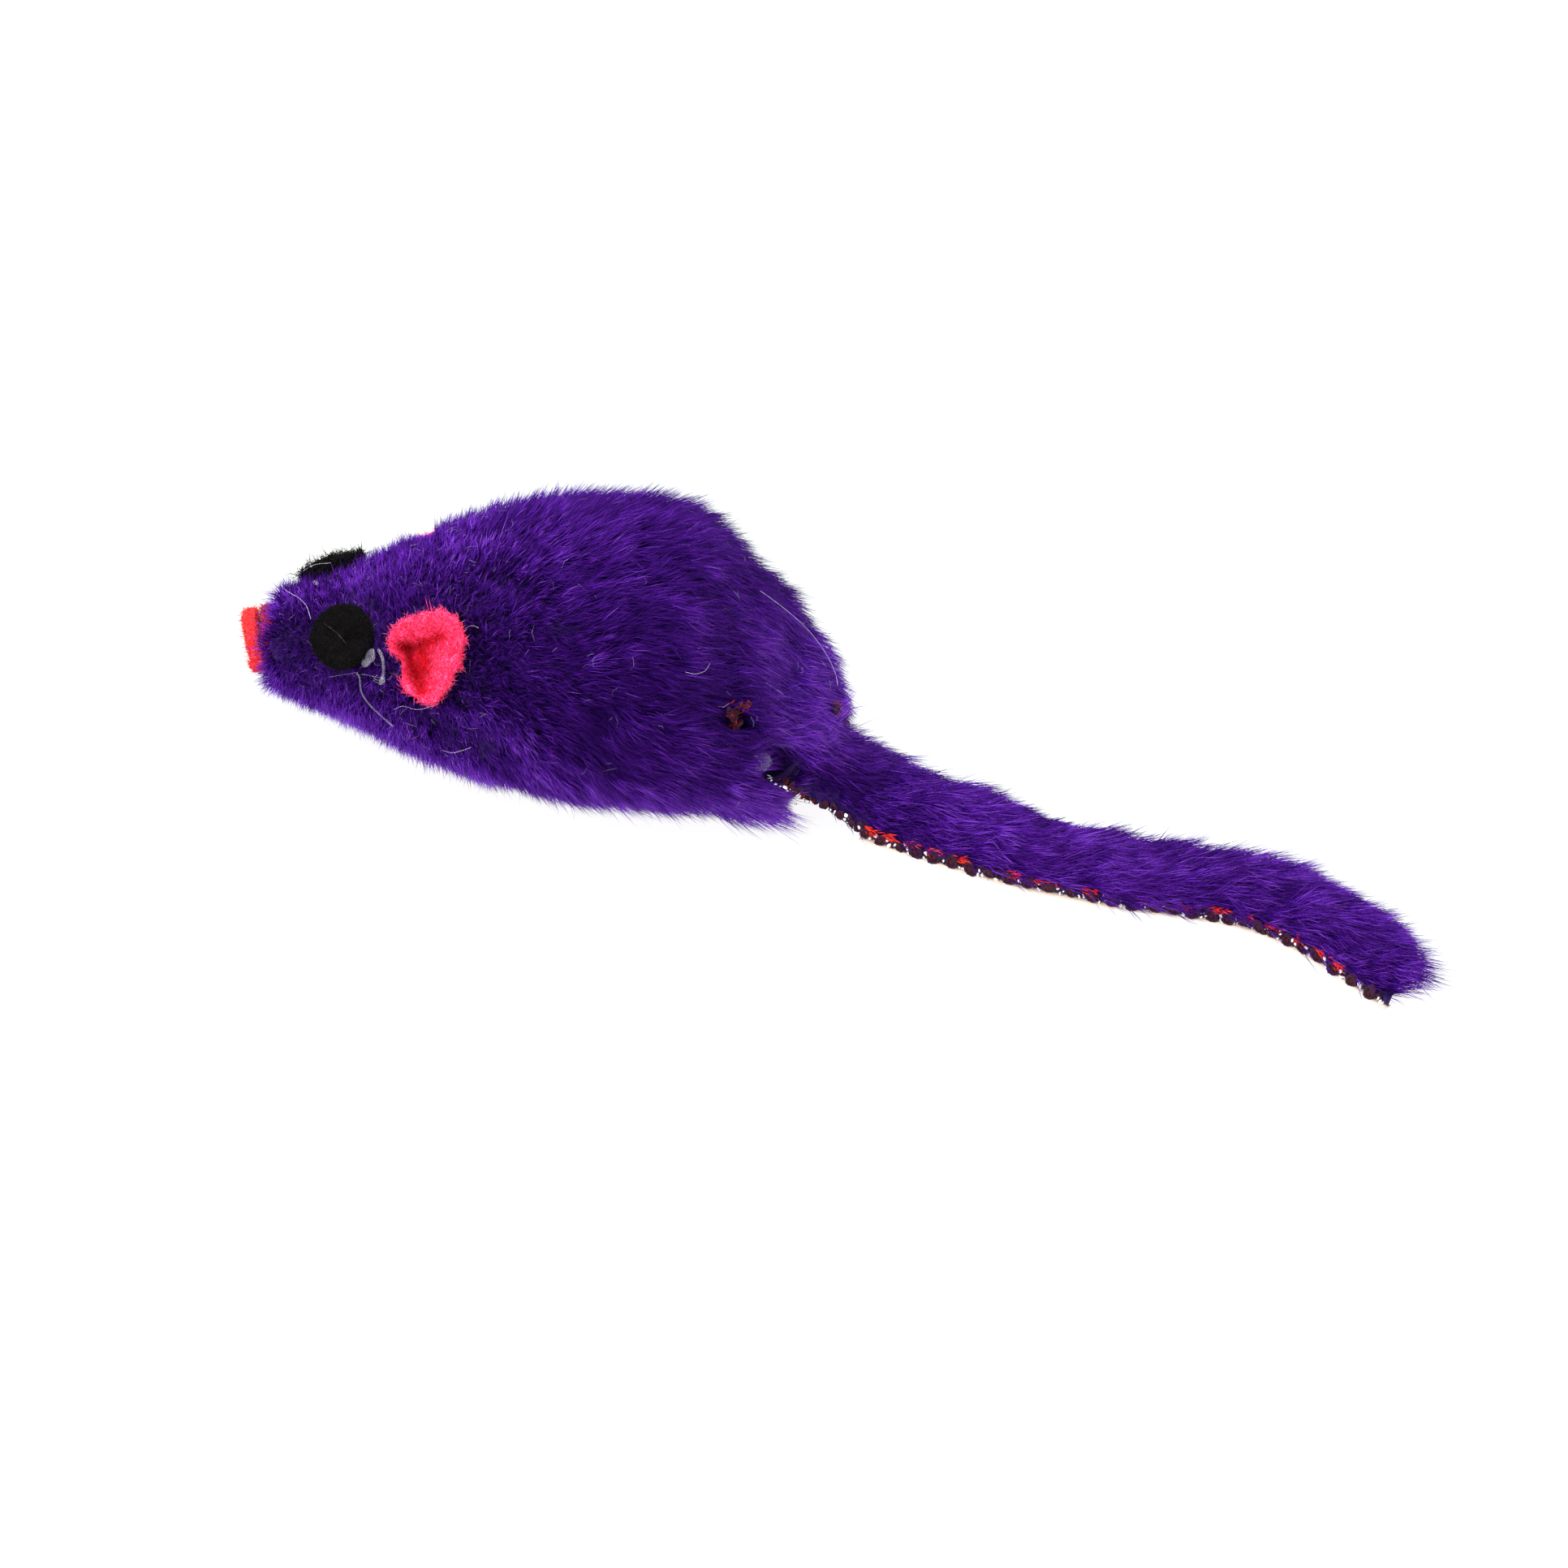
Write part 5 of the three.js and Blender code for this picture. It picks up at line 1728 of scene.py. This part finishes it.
class MOUSE_OT_glue(bpy.types.Operator):
    """Makes the strings, the smear and the lump of clear glue"""

    bl_idname = "mouse.glue"
    bl_label = "Glue"

    def execute(self, context):
        tree = solid_tree("fur_body_cover")
        clear = glue_material()
        line = seen_line(tree, CHEEK_STRING, STRING_LIFT)
        at = np.linspace(0, 1, len(line))
        radii = np.interp(at, np.linspace(0, 1, len(CHEEK_STRING_RADII)), CHEEK_STRING_RADII) * MM
        radii *= np.clip(np.minimum(at, 1 - at) * 14 + 0.35, 0, 1)
        radii *= 1 + 0.12 * waves(line, 0.001, 320)
        string = curve_tubes("cheek_string", [(line, radii)], clear)
        wisps = []
        for pixels in (CHEEK_THREAD, *CHEEK_WISPS):
            line = seen_line(tree, pixels, THREAD_LIFT)
            thick = THREAD_RADIUS if pixels is CHEEK_THREAD else WISP_RADIUS
            wisps.append((line, thick * (1 + 0.15 * waves(line, 0.0015, 321))))
        thread = curve_tubes("cheek_thread", wisps, clear)
        smear = self.blob("cheek_smear", *seen_at(tree, *CHEEK_SMEAR), (1.1, 0.55, 0.12), clear)
        low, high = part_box("tail_glue")
        lump = self.blob(
            "hollow_glue", (low + high) / 2, Vector((0.3, -0.8, 0.5)).normalized(),
            tuple((high - low) / MM * 0.4), clear)
        on_body(string, "clear_glue", "cheek_glue_string")
        on_body(thread, "clear_glue", "cheek_glue_thread")
        on_body(smear, "clear_glue")
        on_body(lump, "clear_glue", "tail_glue")
        on_body(self.belly_seam(clear), "clear_glue", "belly_seam_glue")
        for node in HIDDEN_GLUE:
            dress(node, clear)
        return {"FINISHED"}

    def belly_seam(self, material):
        """The line of glue that closes the cloth under the belly, squeezed out unevenly."""
        low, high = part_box("belly_seam_glue")
        cloth = solid_tree("body_cloth")
        line = []
        for along in np.linspace(low.x, high.x, SEAM_POINTS):
            place = cloth.ray_cast(Vector((along, (low.y + high.y) / 2, -0.01)), Vector((0, 0, 1)))[0]
            line.append(place - Vector((0, 0, 0.00005)))
        line = np.array(line)
        line[:, 1] += 0.0002 * waves(line, 0.006, 323)
        at = np.arange(SEAM_POINTS)
        ends = np.clip(np.minimum(at, at[::-1]) / 5 + 0.3, 0, 1)
        radii = SEAM_RADIUS * (1 + 0.3 * waves(line, 0.003, 324)) * ends
        return curve_tubes("belly_seam", [(line, np.maximum(radii, 0.0001))], material)

    def blob(self, name, place, way, sizes, material):
        """A lump of set glue, flattened along one way."""
        lump = primitive(
            name, bpy.ops.mesh.primitive_uv_sphere_add, segments=40, ring_count=24, radius=1.0)
        points, _ = mesh_points(lump)
        swell = 1 + 0.16 * waves(points, 1.3, len(name)) + 0.05 * waves(points, 0.4, 322)
        points = points * swell[:, None]
        out = np.array(way)
        aside = unit(np.cross((0.45, 0.2, 1.0), out))
        axes = np.stack((np.cross(out, aside), aside, out))
        set_points(lump, np.array(place) + points * np.array(sizes) * MM @ axes)
        smooth(lump)
        lump.data.materials.append(material)
        return lump


def dress(node, material):
    """Gives a solid that stays on show, or hidden inside, its finished material."""
    NODES[node].data.materials.clear()
    NODES[node].data.materials.append(material)


class MOUSE_OT_lint(bpy.types.Operator):
    """Lays stray fibres on the body"""

    bl_idname = "mouse.lint"
    bl_label = "Lint"

    def execute(self, context):
        glue = context.scene.mouse_glue
        base = tuple(glue.lint_colour)
        white = strand_material(
            "lint_fibre", base, scaled(base, 1.2), (0.92, 0.9, 1.0), gloss=0.4, dim=PLAIN_DIM)
        pale = cloth_material("lint_thread", base, (0.92, 0.9, 1.0), 2000, roughness=0.5, bump=0.1)
        faint = cloth_material("lint_faint", (0.11, 0.11, 0.12), (0.20, 0.20, 0.22), 2000, bump=0.1)
        rust = cloth_material("lint_brown", (0.20, 0.05, 0.02), (0.5, 0.16, 0.07), 2000, bump=0.1)
        tree = solid_tree("fur_body_cover", "left_eye", "right_eye", "left_ear")
        rng = np.random.default_rng(260)
        for name, lines, material, thick in (
                ("lint_threads", BODY_LINT, pale, 0.000010),
                ("rump_thread", RUMP_THREAD, pale, 0.000010),
                ("eye_lint", EYE_LINT, faint, 0.000005),
                ("brown_threads", BROWN_LINT, rust, 0.000012)):
            laid = []
            for pixels in lines:
                line = seen_line(tree, pixels, LINT_LIFT, 10)
                laid.append((line, np.full(len(line), thick * rng.uniform(0.8, 1.3))))
            on_body(curve_tubes(name, laid, material), "purple_fur")
        ground = pile_ground("lint_ground")

        def density(middles, ways):
            head = 1 + 5 * (body_share(middles) < 0.4)
            return head * ramped(ways[:, 2], -0.6, 0.4) * 1e5

        places, normals = scatter(ground, density, rng)
        chosen = rng.permutation(len(places))[:glue.lint_count * 4]
        places, normals = places[chosen], normals[chosen]
        height = table(PILE_ROWS, body_share(places), 2)[:, None] * MM
        height = height * rng.uniform(0.75, 1.05, (len(places), 1))
        roots = places + normals * height
        way = unit(np.cross(normals, rng.normal(size=normals.shape)))
        bow = np.cross(normals, way)
        reach = rng.uniform(0.5, 1.7, (len(places), 1)) * MM
        bends = roots + way * reach * 0.5 + bow * reach * rng.uniform(-0.5, 0.5, reach.shape)
        bends += normals * 0.0002
        lint = strand_object(
            "lint_fibres", roots, bends, roots + way * reach, unit(normals + bow * 0.3),
            np.full(len(roots), LINT_WIDTH), rng.uniform(0.0, 0.9, len(roots)), white, 0.8)
        on_body(lint, "purple_fur")
        bpy.data.objects.remove(ground)
        return {"FINISHED"}


# The rattle inside

class MOUSE_OT_core(bpy.types.Operator):
    """Finishes the hidden rattle core and its beads"""

    bl_idname = "mouse.core"
    bl_label = "Rattle core"

    def execute(self, context):
        core = context.scene.mouse_core
        for name, shade, nodes in (
                ("shell_plastic", core.shell_colour, ("core_upper_shell", "core_lower_shell")),
                ("bead_plastic_soft", core.bead_colour,
                 ("rattle_bead_1", "rattle_bead_2", "rattle_bead_3"))):
            shade = tuple(shade)
            plastic = cloth_material(
                name, scaled(shade, 0.9), shade, 320, roughness=0.35, bump=0.05, sheen=0.0)
            for node in nodes:
                dress(node, plastic)
        return {"FINISHED"}


# Stage and camera

class MOUSE_OT_camera(bpy.types.Operator):
    """Sets the camera where the photograph was taken from"""

    bl_idname = "mouse.camera"
    bl_label = "Camera"

    def execute(self, context):
        data = bpy.data.cameras.new("camera")
        camera = bpy.data.objects.new("camera", data)
        context.scene.collection.objects.link(camera)
        width = VIEW_PIXELS / VIEW_SCALE * MM
        data.lens = context.scene.mouse_stage.lens
        distance = data.lens / data.sensor_width * width
        right = (VIEW_MIDDLE[0] - VIEW_ORIGIN[0]) / VIEW_SCALE * MM
        up = (VIEW_ORIGIN[1] - VIEW_MIDDLE[1]) / VIEW_SCALE * MM
        data.clip_start, data.clip_end = 0.05, distance * 4
        place = VIEW_RIGHT * right + VIEW_UP * up + VIEW_BACK * distance
        axes = Matrix((VIEW_RIGHT, VIEW_UP, VIEW_BACK)).transposed().to_4x4()
        camera.matrix_world = Matrix.Translation(place) @ axes
        context.scene.camera = camera
        return {"FINISHED"}


def seen_directly(nodes):
    """1 for the camera, gloss and clear glue, and 0 for light that only falls on things."""
    path = nodes.add("LightPath")
    return nodes.largest([
        path.outputs[ray] for ray in ("Is Camera Ray", "Is Glossy Ray", "Is Transmission Ray")])


# How high the floor is, in metres, which is just under the toy, and what the lights point at
FLOOR_LEVEL = -0.00005
LIGHT_AIM = Vector((0.01, 0, 0.01))


class MOUSE_OT_stage(bpy.types.Operator):
    """Sets up the floor, the light and the white surroundings"""

    bl_idname = "mouse.stage"
    bl_label = "Stage"

    def execute(self, context):
        settings = context.scene.mouse_stage
        floor = primitive(
            "floor", bpy.ops.mesh.primitive_grid_add, x_subdivisions=8, y_subdivisions=8,
            size=settings.floor_size, location=(0, 0, FLOOR_LEVEL))
        material, shader, nodes = new_material("white_table")
        nodes.fill(shader, Base_Color=colour((0.80,) * 3), Roughness=0.9)
        glow = nodes.add("Emission", Color=colour((0.94, 0.915, 0.945)))
        matt = nodes.add("BsdfDiffuse", Color=colour((0.09, 0.12, 0.085)))
        both = nodes.add("AddShader", glow.outputs["Emission"], matt.outputs["BSDF"])
        mix = nodes.add(
            "MixShader", seen_directly(nodes), shader.outputs["BSDF"], both.outputs["Shader"])
        nodes.fill(material.node_tree.nodes["Material Output"], Surface=mix.outputs["Shader"])
        floor.data.materials.append(material)
        world = bpy.data.worlds.new("surroundings")
        world.use_nodes = True
        nodes = Nodes(world.node_tree)
        choose = nodes.add(
            "MapRange", Value=seen_directly(nodes), To_Min=settings.sky_strength, To_Max=1.0)
        nodes.fill(
            world.node_tree.nodes["Background"], Color=colour((1, 1, 1)),
            Strength=choose.outputs["Result"])
        context.scene.world = world
        # Name, power, side and place of each light
        lamps = (
            ("top_light", settings.top_power, 0.5, (0.10, 0.22, 0.55)),
            ("front_light", settings.front_power, 0.4, (-0.25, -0.45, 0.35)),
        )
        for name, power, size, place in lamps:
            data = bpy.data.lights.new(name, "AREA")
            data.energy, data.size = power, size
            lamp = bpy.data.objects.new(name, data)
            context.scene.collection.objects.link(lamp)
            lamp.location = place
            aim = LIGHT_AIM - Vector(place)
            lamp.rotation_euler = aim.to_track_quat("-Z", "Y").to_euler()
        context.scene.view_settings.view_transform = "Standard"
        return {"FINISHED"}


# Sidebar and main

GROUPS = {
    "mouse_fur": FurSettings, "mouse_felt": FeltSettings, "mouse_edge": EdgeSettings,
    "mouse_glue": GlueSettings, "mouse_core": CoreSettings, "mouse_stage": StageSettings,
}
STEPS = (
    MOUSE_OT_camera, MOUSE_OT_body_cloth, MOUSE_OT_body_fur, MOUSE_OT_eyes, MOUSE_OT_nose,
    MOUSE_OT_ears, MOUSE_OT_tail_cloth, MOUSE_OT_tail_fur, MOUSE_OT_tail_edge,
    MOUSE_OT_knit_openings, MOUSE_OT_glue, MOUSE_OT_lint, MOUSE_OT_core, MOUSE_OT_stage,
)


class MOUSE_PT_dressing(bpy.types.Panel):
    """Lists the settings and the steps, in order"""

    bl_label = "Plush Mouse"
    bl_space_type = "VIEW_3D"
    bl_region_type = "UI"
    bl_category = "Plush Mouse"

    def draw(self, context):
        for name, group in GROUPS.items():
            box = self.layout.box()
            box.label(text=group.__doc__)
            for setting in group.__annotations__:
                box.prop(getattr(context.scene, name), setting)
        for step in STEPS:
            self.layout.operator(step.bl_idname)


def register():
    for group in GROUPS.values():
        bpy.utils.register_class(group)
    for name, group in GROUPS.items():
        setattr(bpy.types.Scene, name, PointerProperty(type=group))
    for step in STEPS:
        bpy.utils.register_class(step)
    bpy.utils.register_class(MOUSE_PT_dressing)


def unregister():
    bpy.utils.unregister_class(MOUSE_PT_dressing)
    for step in reversed(STEPS):
        bpy.utils.unregister_class(step)
    for name in GROUPS:
        delattr(bpy.types.Scene, name)
    for group in reversed(GROUPS.values()):
        bpy.utils.unregister_class(group)


TEMPLATE = strand_template()
LOOP = loop_template()
LUMP = lump_template()


def main():
    register()
    for step in STEPS:
        family, name = step.bl_idname.split(".")
        if getattr(getattr(bpy.ops, family), name)() != {"FINISHED"}:
            raise RuntimeError(f"{step.bl_idname} did not finish")


if __name__ == "__main__":
    main()
